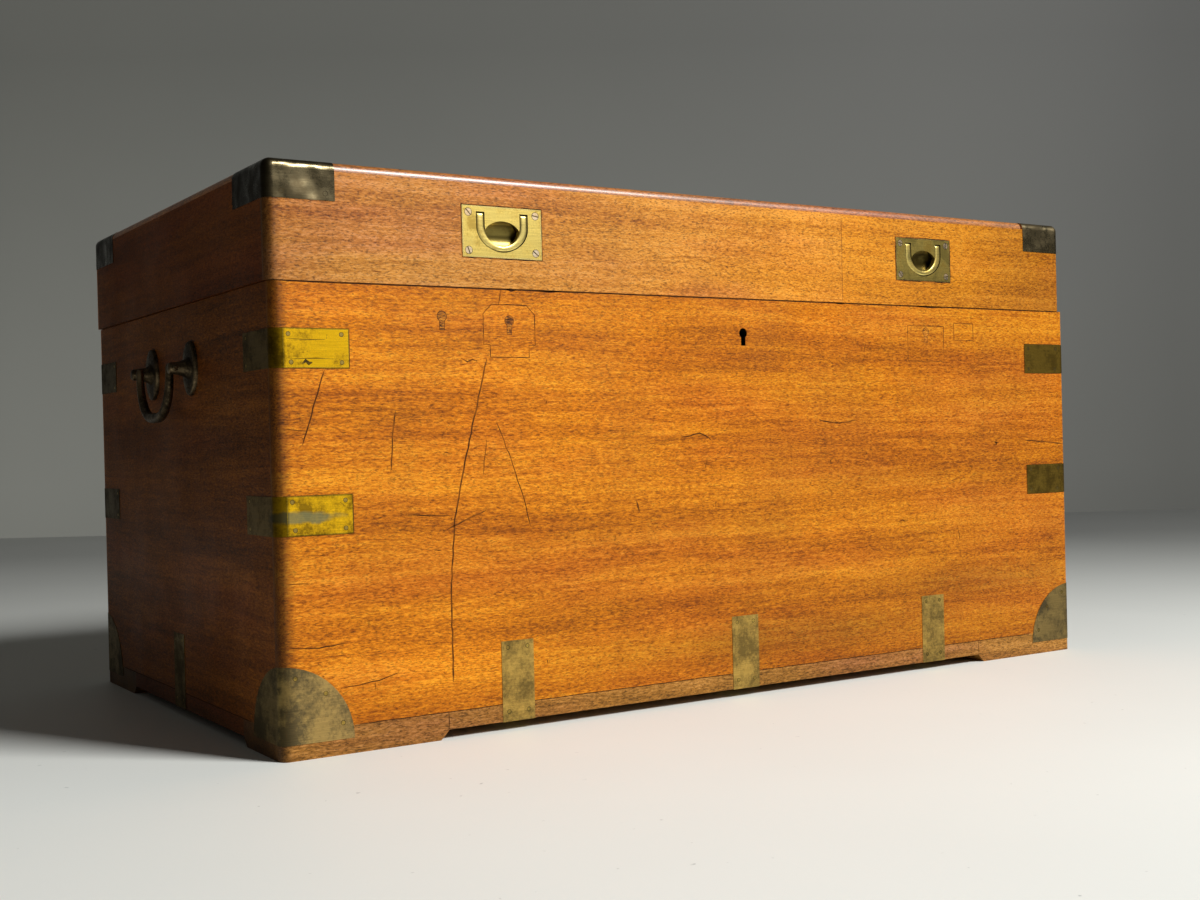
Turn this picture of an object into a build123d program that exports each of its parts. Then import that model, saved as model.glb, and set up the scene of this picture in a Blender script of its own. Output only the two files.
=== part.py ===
from build123d import *
import math
import os

# A camphor wood trunk with a hinged lid, let-in brass mounts, a chest lock and lift handles.
# Millimetres. The origin is on the floor under the middle of the trunk, and the front faces -Y.

os.makedirs("parts", exist_ok=True)

# Overall size
trunk_length = 910.0
trunk_depth = 512.0
trunk_height = 467.0

# Boards of the carcass and the lid
board = 19.0
lap = 9.0  # what the front and back boards leave over the ends of the end boards
arris_radius = 7.0
base_joint = 22.5  # height of the joint between the base and the carcass
seam = 372.4  # height of the joint between the carcass and the lid
seam_gap = 0.6
bottom_board_thickness = 12.0

# Lid, a little shorter than the carcass and set over to the left
lid_shortfall = 2.2
lid_shift = -3.6
lid_lip = 7.5  # the part of the lid top that lies on the lid boards
lid_tongue = 6.5  # the part of the lid top that drops between them
lid_tongue_gap = 0.2
shrinkage_gap = 2.6  # where the lid top has shrunk away from its right front cap

# Base
floor_gap = 8.0
rail_width = 45.0
foot_length = 144.0
front_foot_depth = 86.0
back_foot_depth = 108.0
foot_bevel = 7.5

# Let-in brass
brass = 1.6
proud = 0.4  # how far the brass stands out of the wood
strap_width = 31.0
strap_leg = 64.0
upper_strap_bottom = 304.5
lower_strap_bottom = 174.0
corner_plate_bottom = 12.5
corner_plate_radius = 61.0
cap_front_leg = 58.0
cap_end_leg = 73.0
cap_height = 31.5
cap_core_bevel = 4.5  # on the wood under a cap
base_strap_top = 75.6
base_strap_return = 35.0  # how far a base strap runs in under its plinth rail
base_strap_spacing = 245.0

# Keyhole and old repairs in the front board
keyhole_x = 5.8
keyhole_height = 340.0
keyhole_radius = 4.7
keyhole_slot = 5.3
keyhole_drop = 11.7
inlay = 3.0
left_patch_x = -245.2
left_patch_bottom = 314.7
left_patch_width = 49.8
left_patch_height = 44.4
left_patch_foot_width = 37.6
left_patch_foot_height = 10.4
left_patch_chamfer = 8.1
right_patch_x = 244.0
right_patch_bottom = 315.9
right_patch_width = 51.0
right_patch_height = 36.1
small_patch_x = 298.9
small_patch_bottom = 338.2
small_patch_width = 28.4
small_patch_height = 17.3

# Flush handles in the lid front
flush_handle_spacing = 492.4
flush_handle_height = 419.5
flush_plate_length = 76.2
flush_plate_height = 43.0
flush_plate_thickness = 2.4
casting_length = 60.0
casting_height = 38.0
casting_depth = 11.0
flush_bail_half_width = 24.5
flush_bail_leg = 7.3
flush_bail_thickness = 5.0
flush_bail_bow = 20.3  # height of the outer bow below its middle
flush_bail_grip = 4.6  # height of the bail's bar at the bottom of the bow
flush_bow_middle = 4.4  # the bow's middle over the plate's middle
flush_pivot_rise = 13.8
flush_gap = 0.4
bowl_half_width = 18.0
bowl_half_height = 13.2
bowl_middle = -3.5
bowl_depth = 8.5
flush_trunnion_radius = 1.3
flush_trunnion = 4.0  # how far a trunnion reaches into its socket

# Lift handles on the ends
post_spacing = 115.8
end_handle_height = 314.9
backplate_half_width = 17.0
backplate_half_height = 24.0
backplate_thickness = 3.6
pivot_reach = 16.5  # from the end board out to the bail's pivot
post_length = 21.5
post_foot_radius = 9.0
post_tip_radius = 4.8
post_sides = 12
end_pin_radius = 2.5
end_bail_drop = 42.0
end_bail_bend = 30.0
end_bail_bend_steps = 4
end_bail_radius = 4.2
end_bail_sides = 8
end_bail_gap = 0.3
end_pin_tip = 1.2  # how far the pin stands out of the post

# Running clearance of every pin in its hole
pin_clearance = 0.07

# Hinges at the back
hinge_x = 290.0
hinge_length = 76.0
hinge_leaf_width = 15.0
hinge_leaf_thickness = 2.2
hinge_barrel_radius = 4.5
hinge_pin_radius = 2.0
hinge_knuckles = 3
knuckle_gap = 0.3
barrel_clearance = 0.5
hinge_bevel = 50.0  # degrees that each back edge is bevelled from the seam

# Chest lock
lock_plate_length = 112.0
lock_plate_height = 68.0
lock_plate_thickness = 2.0
selvedge_width = 13.4
lock_case_length = 88.0
lock_case_height = 52.0
lock_case_depth = 8.0
lock_rim = 1.6
lock_cap_thickness = 1.2
key_pin_radius = 1.5
key_pin_gap = 0.5
staple_spacing = 48.0
staple_thickness = 3.5
staple_width = 7.2
staple_length = 16.0
staple_eye_width = 3.8
staple_eye_height = 6.0
staple_eye_rise = 2.5  # the eye over the staple's lower end
staple_slot_gap = 0.8
link_plate_length = 100.0
bolt_thickness = 3.0
bolt_bar_height = 9.0
bolt_bar_drop = 1.2  # clearance of the bar under the staples
bolt_overhang = 6.0  # of the bar past the right staple
bolt_throw = 8.0
bolt_start_gap = 1.2
bolt_finger = 7.5
bolt_riser = 4.0
bolt_finger_height = 4.4
talon_width = 9.0
talon_depth = 3.0
lever_thickness = 1.5
lever_gap = 0.4
lever_pivot_back = 34.0
lever_pivot_radius = 1.5
lever_reach = 12.0
lever_height = 6.0
lever_post_gap = 0.3  # clearance of the lever's post in the bolt's guide slot

# Places that several pieces share
front_face = -trunk_depth / 2
back_face = trunk_depth / 2
carcass_top = seam - seam_gap / 2
lid_bottom = seam + seam_gap / 2
lid_boards_top = trunk_height - lid_lip
lid_length = trunk_length - lid_shortfall
brass_bend = arris_radius + proud
inner_front = front_face + board


def write(piece, name):
    """Label a finished piece and write its file."""
    piece.label = name
    export_step(piece, f"parts/{name}.step")


def across(piece):
    """The same piece at the other end of the trunk."""
    return mirror(piece, about=Plane.YZ)


def behind(piece):
    """The same piece at the back of the trunk."""
    return mirror(piece, about=Plane.XZ)


def pocketed(wood, fittings):
    """A wooden piece with a pocket cut for each fitting that is let into it."""
    with BuildPart() as piece:
        add(wood)
        for fitting in fittings:
            add(fitting, mode=Mode.SUBTRACT)
    return piece.part


def together(pieces):
    """Several loose pieces of one kind, as one group."""
    with BuildPart() as group:
        for piece in pieces:
            add(piece)
    return group.part


def pair(piece):
    """A piece and its like on the other side of the trunk's middle."""
    return together([piece, across(piece)])


# Boards


def lapped_panel(length, middle, bottom, top):
    """A front board: its rebated ends lap the end boards and its upright arrises are rounded."""
    with BuildPart() as panel:
        with BuildSketch(Plane.XY.offset(bottom)) as plan:
            with Locations((middle, front_face + board / 2)):
                Rectangle(length, board)
            fillet(plan.vertices().group_by(Axis.Y)[0], arris_radius)
            for end in (-1, 1):
                with Locations((middle + end * (length - board) / 2, front_face + (board + lap) / 2)):
                    Rectangle(board, board - lap, mode=Mode.SUBTRACT)
        extrude(amount=top - bottom)
    return panel.part


def end_panel(length, middle, side, bottom, top):
    """An end board, which stands between the laps of the front and back boards."""
    with BuildPart() as panel:
        with BuildSketch(Plane.XY.offset(bottom)):
            with Locations((middle + side * (length - board) / 2, 0)):
                Rectangle(board, trunk_depth - 2 * lap)
        extrude(amount=top - bottom)
    return panel.part


with BuildPart() as bottom_board:
    with BuildSketch(Plane.XY.offset(base_joint)):
        Rectangle(trunk_length - 2 * lap, trunk_depth - 2 * lap)
    extrude(amount=bottom_board_thickness)


def foot(depth):
    """A foot block under the front left corner, bevelled back where it comes clear of the rails."""
    with BuildPart() as block:
        with BuildSketch() as plan:
            with Locations((-trunk_length / 2, front_face)):
                Rectangle(foot_length, depth, align=(Align.MIN, Align.MIN))
            fillet(plan.vertices().sort_by(Axis.X)[:2].sort_by(Axis.Y)[0], arris_radius)
        extrude(amount=base_joint)
        under = block.faces().sort_by(Axis.Z)[0].edges()
        chamfer([under.sort_by(Axis.X)[-1], under.sort_by(Axis.Y)[-1]], length=foot_bevel)
    return block.part


def plinth_rail(length, width, x, y):
    """A rail of the plinth, under the edge of the carcass and between two feet."""
    with BuildPart() as rail:
        with BuildSketch(Plane.XY.offset(floor_gap)):
            with Locations((x, y)):
                Rectangle(length, width)
        extrude(amount=base_joint - floor_gap)
    return rail.part


# Let-in brass


def bent_plate(bottom, height, leg):
    """A brass plate bent round the front left corner of the trunk."""
    left = -trunk_length / 2 - proud
    front = front_face - proud
    with BuildPart() as plate:
        with BuildSketch(Plane.XY.offset(bottom)):
            with BuildLine():
                FilletPolyline((left + leg, front), (left, front), (left, front + leg), radius=brass_bend)
                offset(amount=brass, side=Side.RIGHT)
            make_face()
        extrude(amount=height)
    return plate.part


def base_corner_plate():
    """A bent plate whose two legs are quarter rounds, struck from the corner's foot."""
    left = -trunk_length / 2 - proud
    front = front_face - proud
    with BuildPart() as plate:
        add(bent_plate(corner_plate_bottom, corner_plate_radius, corner_plate_radius))
        with BuildSketch(Plane.XZ.offset(-front)):
            with Locations((left, corner_plate_bottom)):
                Circle(corner_plate_radius)
        extrude(amount=-2 * corner_plate_radius, mode=Mode.INTERSECT)
        with BuildSketch(Plane.YZ.offset(left)):
            with Locations((front, corner_plate_bottom)):
                Circle(corner_plate_radius)
        extrude(amount=2 * corner_plate_radius, mode=Mode.INTERSECT)
    return plate.part


def corner_straps():
    """The upper and the lower strap of the front left corner."""
    with BuildPart() as straps:
        add(bent_plate(upper_strap_bottom, strap_width, strap_leg))
        add(bent_plate(lower_strap_bottom, strap_width, strap_leg))
    return straps.part


def base_strap(plane):
    """A strap down the side of the carcass and in under its plinth rail; the plane's X points outwards."""
    with BuildPart() as strap:
        with BuildSketch(plane):
            with BuildLine():
                Polyline(
                    (proud, base_strap_top),
                    (proud, floor_gap - proud),
                    (-base_strap_return, floor_gap - proud),
                    (-base_strap_return, floor_gap - proud + brass),
                    (proud - brass, floor_gap - proud + brass),
                    (proud - brass, base_strap_top),
                    close=True,
                )
            make_face()
        extrude(amount=strap_width / 2, both=True)
    return strap.part


def rounded_corner(piece):
    """The three edges that meet at a block's outer corner, front left and top."""
    corner = piece.vertices().sort_by(lambda v: v.X + v.Y - v.Z)[0]
    return piece.edges().filter_by(lambda edge: corner in edge.vertices())


def corner_block(inset):
    """A block at the lid's front left corner, set in from the cap's outer faces."""
    with BuildPart() as block:
        with Locations((cap_left + inset, cap_front + inset, cap_top - inset)):
            Box(cap_front_leg, cap_end_leg, cap_height, align=(Align.MIN, Align.MIN, Align.MAX))
    return block.part


cap_left = lid_shift - lid_length / 2 - proud
cap_front = front_face - proud
cap_top = trunk_height + proud

with BuildPart() as cap_core:
    add(corner_block(brass))
    chamfer(rounded_corner(cap_core), cap_core_bevel)

with BuildPart() as lid_cap:
    add(corner_block(0))
    fillet(rounded_corner(lid_cap), brass_bend)
    add(cap_core.part, mode=Mode.SUBTRACT)

# Keyhole and old patches


def front_at(x, z):
    """A plane on the front face of the carcass."""
    return Plane(origin=(x, front_face, z), x_dir=(1, 0, 0), z_dir=(0, -1, 0))


shoulder = left_patch_width / 2
patch_foot = left_patch_foot_width / 2
patch_head = shoulder - left_patch_chamfer
chamfer_start = left_patch_height - left_patch_chamfer

with BuildPart() as front_patches:
    with BuildSketch(front_at(left_patch_x, left_patch_bottom)):
        with BuildLine():
            Polyline(
                (-patch_foot, 0),
                (patch_foot, 0),
                (patch_foot, left_patch_foot_height),
                (shoulder, left_patch_foot_height),
                (shoulder, chamfer_start),
                (patch_head, left_patch_height),
                (-patch_head, left_patch_height),
                (-shoulder, chamfer_start),
                (-shoulder, left_patch_foot_height),
                (-patch_foot, left_patch_foot_height),
                close=True,
            )
        make_face()
    extrude(amount=-inlay)
    with BuildSketch(front_at(right_patch_x, right_patch_bottom)):
        Rectangle(right_patch_width, right_patch_height, align=(Align.CENTER, Align.MIN))
    extrude(amount=-inlay)
    with BuildSketch(front_at(small_patch_x, small_patch_bottom)):
        Rectangle(small_patch_width, small_patch_height, align=(Align.CENTER, Align.MIN))
    extrude(amount=-inlay)

with BuildPart() as keyhole:
    with BuildSketch(front_at(keyhole_x, keyhole_height)):
        Circle(keyhole_radius)
        Rectangle(keyhole_slot, keyhole_drop, align=(Align.CENTER, Align.MAX))
    extrude(amount=-board)

# Chest lock, let into the inside of the front board

selvedge_bottom = carcass_top - lock_plate_thickness
case_inner = inner_front - lock_plate_thickness
case_outer = case_inner - lock_case_depth
works_middle = (case_inner + case_outer) / 2
staple_bottom = lid_bottom - staple_length
eye_bottom = staple_bottom + staple_eye_rise
eye_middle = eye_bottom + staple_eye_height / 2
staple_places = [keyhole_x - staple_spacing / 2, keyhole_x + staple_spacing / 2]
finger_tips = [x - staple_thickness / 2 - bolt_start_gap for x in staple_places]
bolt_left = finger_tips[0] - bolt_finger - bolt_riser
bolt_right = staple_places[1] + bolt_overhang
bolt_bar_top = staple_bottom - bolt_bar_drop
bolt_bar_bottom = bolt_bar_top - bolt_bar_height
lever_post_x = keyhole_x - lever_pivot_back
lever_post_height = bolt_bar_bottom + bolt_bar_height / 2


def lock_block(length, height, outer, inner, top):
    """A block of the lock, between two depths and down from a height."""
    with Locations((keyhole_x, (outer + inner) / 2, top)):
        Box(length, inner - outer, height, align=(Align.CENTER, Align.CENTER, Align.MAX))


def lock_plates():
    """The plate on the inside of the front board and the selvedge on its top edge."""
    lock_block(lock_plate_length, lock_plate_height, case_inner, inner_front, carcass_top)
    lock_block(lock_plate_length, lock_plate_thickness, inner_front - selvedge_width, inner_front, carcass_top)


with BuildPart() as lock_pocket:
    lock_plates()
    lock_block(lock_case_length, lock_case_height, case_outer - lock_cap_thickness, case_inner, selvedge_bottom)

with BuildPart() as lock_plate:
    lock_block(lock_case_length, lock_case_height, case_outer, case_inner, selvedge_bottom)
    with Locations((keyhole_x, works_middle, selvedge_bottom - lock_case_height / 2)):
        Box(
            lock_case_length - 2 * lock_rim,
            lock_case_depth,
            lock_case_height - 2 * lock_rim,
            mode=Mode.SUBTRACT,
        )
    lock_plates()
    with Locations([(x, works_middle, carcass_top) for x in staple_places]):
        Box(
            staple_thickness + 2 * staple_slot_gap,
            lock_case_depth,
            2 * (lock_plate_thickness + lock_rim),
            mode=Mode.SUBTRACT,
        )
    with BuildSketch(Plane.XZ.offset(-case_inner)):
        with Locations((keyhole_x, keyhole_height)):
            Circle(key_pin_radius)
    extrude(amount=lock_case_depth - key_pin_gap)
    with BuildSketch(Plane.XZ.offset(-case_inner)):
        with Locations((lever_post_x, lever_post_height)):
            Circle(lever_pivot_radius)
    extrude(amount=lock_case_depth)

with BuildPart() as lock_cap:
    lock_block(lock_case_length, lock_case_height, case_outer - lock_cap_thickness, case_outer, selvedge_bottom)
    add(keyhole.part, mode=Mode.SUBTRACT)

bolt_outer = works_middle - bolt_thickness / 2
finger_top = eye_middle + bolt_finger_height / 2

with BuildPart() as lock_bolt:
    with BuildSketch(Plane.XZ.offset(-bolt_outer)):
        with Locations((bolt_left, bolt_bar_top)):
            Rectangle(bolt_right - bolt_left, bolt_bar_height, align=(Align.MIN, Align.MAX))
        for tip in finger_tips:
            with Locations((tip, eye_middle)):
                Rectangle(bolt_finger, bolt_finger_height, align=(Align.MAX, Align.CENTER))
            with Locations((tip - bolt_finger, finger_top)):
                Rectangle(bolt_riser, finger_top - bolt_bar_bottom, align=(Align.MAX, Align.MAX))
        with Locations((keyhole_x, bolt_bar_bottom)):
            Rectangle(talon_width, 2 * talon_depth, mode=Mode.SUBTRACT)
        with Locations((lever_post_x - bolt_throw / 2, lever_post_height)):
            SlotCenterToCenter(bolt_throw, 2 * (lever_pivot_radius + lever_post_gap), mode=Mode.SUBTRACT)
    extrude(amount=-bolt_thickness)

with BuildPart() as lock_lever:
    with BuildSketch(Plane.XZ.offset(-bolt_outer + lever_gap)):
        with Locations((lever_post_x, lever_post_height)):
            Circle(lever_height / 2)
            Rectangle(lever_pivot_back + lever_reach, lever_height, align=(Align.MIN, Align.CENTER))
            Circle(lever_pivot_radius + pin_clearance, mode=Mode.SUBTRACT)
    extrude(amount=lever_thickness)

with BuildPart() as link_plate:
    with Locations((keyhole_x, inner_front - selvedge_width / 2, lid_bottom)):
        Box(
            link_plate_length,
            selvedge_width,
            lock_plate_thickness,
            align=(Align.CENTER, Align.CENTER, Align.MIN),
        )
    with Locations([(x, works_middle, lid_bottom) for x in staple_places]):
        Box(staple_thickness, staple_width, staple_length, align=(Align.CENTER, Align.CENTER, Align.MAX))
    with Locations([(x, works_middle, eye_bottom) for x in staple_places]):
        Box(
            staple_thickness,
            staple_eye_width,
            staple_eye_height,
            align=(Align.CENTER, Align.CENTER, Align.MIN),
            mode=Mode.SUBTRACT,
        )

# Hinges, flush in the bevelled back edges

hinge_axis_y = back_face - hinge_barrel_radius
knuckle = hinge_length / hinge_knuckles
notch = 2 * (hinge_barrel_radius + barrel_clearance)


def hinge_bar(radius, length, x, mode=Mode.ADD):
    """A round bar on the hinge axis, for use inside a part."""
    with Locations(Location((x, hinge_axis_y, seam), (0, 90, 0))):
        Cylinder(radius, length, mode=mode)


def barrel(radius, x):
    """A bar on the hinge axis as a piece of its own."""
    with BuildPart() as bar:
        hinge_bar(radius, hinge_length, x)
    return bar.part


def hinge_leaf(x, leaf_low, first):
    """One leaf of a hinge, with every second knuckle from the given one."""
    with BuildPart() as leaf:
        with Locations((x, hinge_axis_y, leaf_low)):
            Box(
                hinge_length,
                hinge_leaf_width,
                hinge_leaf_thickness,
                align=(Align.CENTER, Align.MAX, Align.MIN),
            )
        middles = [x - (hinge_length - knuckle) / 2 + n * knuckle for n in range(hinge_knuckles)]
        for middle in middles[1 - first::2]:
            with Locations((middle, hinge_axis_y, seam)):
                Box(knuckle + knuckle_gap, notch, notch, mode=Mode.SUBTRACT)
        for middle in middles[first::2]:
            hinge_bar(hinge_barrel_radius, knuckle - knuckle_gap, middle)
        hinge_bar(hinge_pin_radius + pin_clearance, hinge_length, x, Mode.SUBTRACT)
    return leaf.part


carcass_leaves = pair(hinge_leaf(hinge_x, carcass_top - hinge_leaf_thickness, 0))
lid_leaves = pair(hinge_leaf(hinge_x, lid_bottom, 1))
hinge_pins = pair(barrel(hinge_pin_radius, hinge_x))
barrel_room = pair(barrel(hinge_barrel_radius + barrel_clearance, hinge_x))


def bevel(direction):
    """The wedge of wood that is planed off a back edge, below the seam or above it."""
    edge = seam + direction * seam_gap / 2
    rise = direction * hinge_barrel_radius * math.tan(math.radians(hinge_bevel))
    with BuildPart() as wedge:
        with BuildSketch(Plane.YZ):
            with BuildLine():
                Polyline(
                    (hinge_axis_y, edge),
                    (back_face, edge + rise),
                    (back_face, edge),
                    close=True,
                )
            make_face()
        extrude(amount=trunk_length, both=True)
    return wedge.part


# Flush handles

flush_face = front_face - proud
flush_pivot_y = flush_face + flush_bail_thickness / 2
flush_pivot_height = flush_handle_height + flush_pivot_rise


def flush_plane(x, rise=0.0):
    """A plane on the face of a flush handle's plate."""
    return Plane(origin=(x, flush_face, flush_handle_height + rise), x_dir=(1, 0, 0), z_dir=(0, -1, 0))


def bail_prism(x, gap, top, depth):
    """The outline of a flush bail, grown by a gap and cut to a depth: legs, an oval bow and a round inside."""
    half_width = flush_bail_half_width + gap
    inside = flush_bail_half_width - flush_bail_leg - gap
    inside_middle = flush_bow_middle - flush_bail_bow + flush_bail_grip + gap + inside
    with BuildPart() as prism:
        with BuildSketch(flush_plane(x)):
            with BuildLine():
                Polyline(
                    (-half_width, flush_bow_middle),
                    (-half_width, top),
                    (half_width, top),
                    (half_width, flush_bow_middle),
                )
                EllipticalCenterArc(
                    (0, flush_bow_middle),
                    half_width,
                    flush_bail_bow + gap,
                    start_angle=180,
                    arc_size=180,
                )
            make_face()
            with Locations((0, inside_middle)):
                Circle(inside, mode=Mode.SUBTRACT)
                Rectangle(2 * inside, top, align=(Align.CENTER, Align.MIN), mode=Mode.SUBTRACT)
        extrude(amount=-depth)
    return prism.part


def leg_bars(x, radius, length):
    """A round bar through each leg of the bail on its pivot, outwards from the leg's inner face."""
    middle = flush_bail_half_width - flush_bail_leg + length / 2
    for side in (-1, 1):
        with Locations(Location((x + side * middle, flush_pivot_y, flush_pivot_height), (0, 90, 0))):
            Cylinder(radius, length)


def sockets(x):
    """The square sockets that a flush bail's trunnions turn in."""
    width = flush_trunnion + flush_gap
    outwards = flush_bail_half_width + width / 2
    opening = 2 * (flush_trunnion_radius + pin_clearance)
    with BuildPart() as both_sockets:
        with Locations([(x + side * outwards, flush_pivot_y, flush_pivot_height) for side in (-1, 1)]):
            Box(width, opening, opening)
    return both_sockets.part


def bowl(x):
    """The hollow of a flush plate: an oval with upright sides and a floor that is part of a round bar."""
    floor_radius = (bowl_half_height**2 + bowl_depth**2) / (2 * bowl_depth)
    centre = flush_plane(x, bowl_middle).origin - Vector(0, floor_radius - bowl_depth, 0)
    with BuildPart() as hollow:
        with BuildSketch(flush_plane(x, bowl_middle)):
            Ellipse(bowl_half_width, bowl_half_height)
        extrude(amount=-bowl_depth)
        with Locations(Location(centre, (0, 90, 0))):
            Cylinder(floor_radius, 2 * bowl_half_width, mode=Mode.INTERSECT)
    return hollow.part


def casting(x):
    """The cast body of a flush handle, before it is hollowed."""
    with BuildPart() as body:
        with BuildSketch(flush_plane(x)):
            Rectangle(flush_plate_length, flush_plate_height)
        extrude(amount=-flush_plate_thickness)
        with BuildSketch(flush_plane(x)):
            Rectangle(casting_length, casting_height)
        extrude(amount=-casting_depth)
    return body.part


def flush_plate(x):
    """The plate of a flush handle, with the bail's channel and a dished bowl for the fingers."""
    channel_top = flush_pivot_rise + flush_bail_thickness / 2 + flush_gap
    channel = bail_prism(x, flush_gap, channel_top, flush_bail_thickness + flush_gap)
    return pocketed(casting(x), [channel, bowl(x), sockets(x)])


def flush_bail(x):
    """The bail of a flush handle, which lies level with the plate and turns on two trunnions."""
    prism = bail_prism(x, 0, flush_pivot_rise, flush_bail_thickness)
    with BuildPart() as bail:
        add(prism)
        leg_bars(x, flush_bail_thickness / 2, flush_bail_leg)
        leg_bars(x, flush_trunnion_radius, flush_bail_leg + flush_trunnion)
    return bail.part


left_flush_x = lid_shift - flush_handle_spacing / 2
right_flush_x = lid_shift + flush_handle_spacing / 2

# Lift handles on the ends

end_wall = -trunk_length / 2
pivot_x = end_wall - pivot_reach
post_slope = (post_foot_radius - post_tip_radius) / post_length


def backplate(y):
    """An oval backplate on the left end, with a tapered post that ends in the pivot's eye."""
    wall = Plane(origin=(end_wall, y, end_handle_height), x_dir=(0, -1, 0), z_dir=(-1, 0, 0))
    with BuildPart() as plate:
        with BuildSketch(wall):
            Ellipse(backplate_half_width, backplate_half_height)
        extrude(amount=backplate_thickness)
        with BuildSketch(wall):
            RegularPolygon(post_foot_radius, post_sides, major_radius=False, rotation=180 / post_sides)
        extrude(amount=post_length, taper=math.degrees(math.atan(post_slope)))
        with Locations(Location((pivot_x, y, end_handle_height), (90, 0, 0))):
            Cylinder(end_pin_radius + pin_clearance, 2 * post_foot_radius, mode=Mode.SUBTRACT)
    return plate.part


post_side = post_foot_radius - post_slope * (pivot_reach - 2 * end_bail_radius)
leg_y = post_spacing / 2 - post_side - end_bail_gap - end_bail_radius
end_pin_length = end_bail_radius + end_bail_gap + 2 * post_side + end_pin_tip
bail_plane = Plane(origin=(pivot_x, 0, end_handle_height), x_dir=(0, 1, 0), z_dir=(1, 0, 0))
bend_middle = (leg_y - end_bail_bend, end_bail_bend - end_bail_drop)
bend_places = []
for step in range(end_bail_bend_steps + 1):
    angle = math.radians(90 * step / end_bail_bend_steps)
    sideways = bend_middle[0] + end_bail_bend * math.cos(angle)
    upwards = bend_middle[1] - end_bail_bend * math.sin(angle)
    bend_places.append((sideways, upwards))

with BuildPart() as left_end_bail:
    with BuildLine(bail_plane) as bend:
        Polyline((leg_y, end_bail_radius), *bend_places, (0, -end_bail_drop))
        mirror(about=Plane.XZ)
    with BuildSketch(bend.line ^ 0):
        RegularPolygon(end_bail_radius, end_bail_sides, major_radius=False, rotation=180 / end_bail_sides)
    sweep(transition=Transition.RIGHT)
    for side in (-1, 1):
        with Locations(Location((pivot_x, side * (leg_y + end_pin_length / 2), end_handle_height), (90, 0, 0))):
            Cylinder(end_pin_radius, end_pin_length)

left_backplates = together([backplate(-post_spacing / 2), backplate(post_spacing / 2)])

# Brass at its places

straps = {"front_left": corner_straps()}
plates = {"front_left": base_corner_plate()}
for group in (straps, plates):
    group["front_right"] = across(group["front_left"])
    group["back_left"] = behind(group["front_left"])
    group["back_right"] = behind(group["front_right"])

lid_plane = Plane.YZ.offset(lid_shift)
caps = {"front_left": lid_cap.part}
caps["front_right"] = mirror(caps["front_left"], about=lid_plane)
caps["back_left"] = behind(caps["front_left"])
caps["back_right"] = behind(caps["front_right"])

with BuildPart() as front_base_straps:
    for step in (-1, 0, 1):
        add(base_strap(Plane(origin=(step * base_strap_spacing, front_face, 0), x_dir=(0, -1, 0), z_dir=(-1, 0, 0))))

left_base_strap = base_strap(Plane(origin=(end_wall, 0, 0), x_dir=(-1, 0, 0), z_dir=(0, 1, 0)))
base_straps = {
    "front": front_base_straps.part,
    "back": behind(front_base_straps.part),
    "left": left_base_strap,
    "right": across(left_base_strap),
}

# Carcass with its pockets

front_board = pocketed(
    lapped_panel(trunk_length, 0, base_joint, carcass_top),
    [
        bottom_board.part,
        straps["front_left"],
        straps["front_right"],
        plates["front_left"],
        plates["front_right"],
        base_straps["front"],
        front_patches.part,
        keyhole.part,
        lock_pocket.part,
    ],
)
back_board = pocketed(
    behind(lapped_panel(trunk_length, 0, base_joint, carcass_top)),
    [
        bottom_board.part,
        straps["back_left"],
        straps["back_right"],
        plates["back_left"],
        plates["back_right"],
        base_straps["back"],
        bevel(-1),
        barrel_room,
        carcass_leaves,
    ],
)
left_end_board = pocketed(
    end_panel(trunk_length, 0, -1, base_joint, carcass_top),
    [
        bottom_board.part,
        straps["front_left"],
        straps["back_left"],
        plates["front_left"],
        plates["back_left"],
        base_straps["left"],
    ],
)
right_end_board = across(left_end_board)

# Lid with its pockets

inner_lid_length = lid_length - 2 * board
inner_lid_depth = trunk_depth - 2 * board

with BuildPart() as lid_top_blank:
    with Locations((lid_shift, 0, lid_boards_top)):
        Box(lid_length, trunk_depth, lid_lip, align=(Align.CENTER, Align.CENTER, Align.MIN))
    rounded = lid_top_blank.edges().filter_by(Axis.Z) + lid_top_blank.edges().group_by(Axis.Z)[-1]
    fillet(rounded, arris_radius)
    with BuildSketch(Plane.XY.offset(lid_boards_top)):
        with Locations((lid_shift, 0)):
            Rectangle(inner_lid_length - 2 * lid_tongue_gap, inner_lid_depth - 2 * lid_tongue_gap)
    extrude(amount=-lid_tongue)
    with Locations((lid_shift + lid_length / 2 - cap_front_leg, front_face, trunk_height)):
        Box(shrinkage_gap, board, 2 * lid_lip, align=(Align.MAX, Align.CENTER, Align.CENTER), mode=Mode.SUBTRACT)

castings = [casting(left_flush_x), casting(right_flush_x)]
lid_top = pocketed(lid_top_blank.part, caps.values())
lid_front = pocketed(
    lapped_panel(lid_length, lid_shift, lid_bottom, lid_boards_top),
    [caps["front_left"], caps["front_right"], link_plate.part] + castings,
)
lid_back = pocketed(
    behind(lapped_panel(lid_length, lid_shift, lid_bottom, lid_boards_top)),
    [caps["back_left"], caps["back_right"], bevel(1), barrel_room, lid_leaves],
)
lid_left_end = pocketed(
    end_panel(lid_length, lid_shift, -1, lid_bottom, lid_boards_top),
    [caps["front_left"], caps["back_left"]],
)
lid_right_end = pocketed(
    end_panel(lid_length, lid_shift, 1, lid_bottom, lid_boards_top),
    [caps["front_right"], caps["back_right"]],
)

# Base with its pockets

feet = {"front_left": foot(front_foot_depth), "back_left": behind(foot(back_foot_depth))}
feet["front_right"] = across(feet["front_left"])
feet["back_right"] = across(feet["back_left"])

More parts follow.
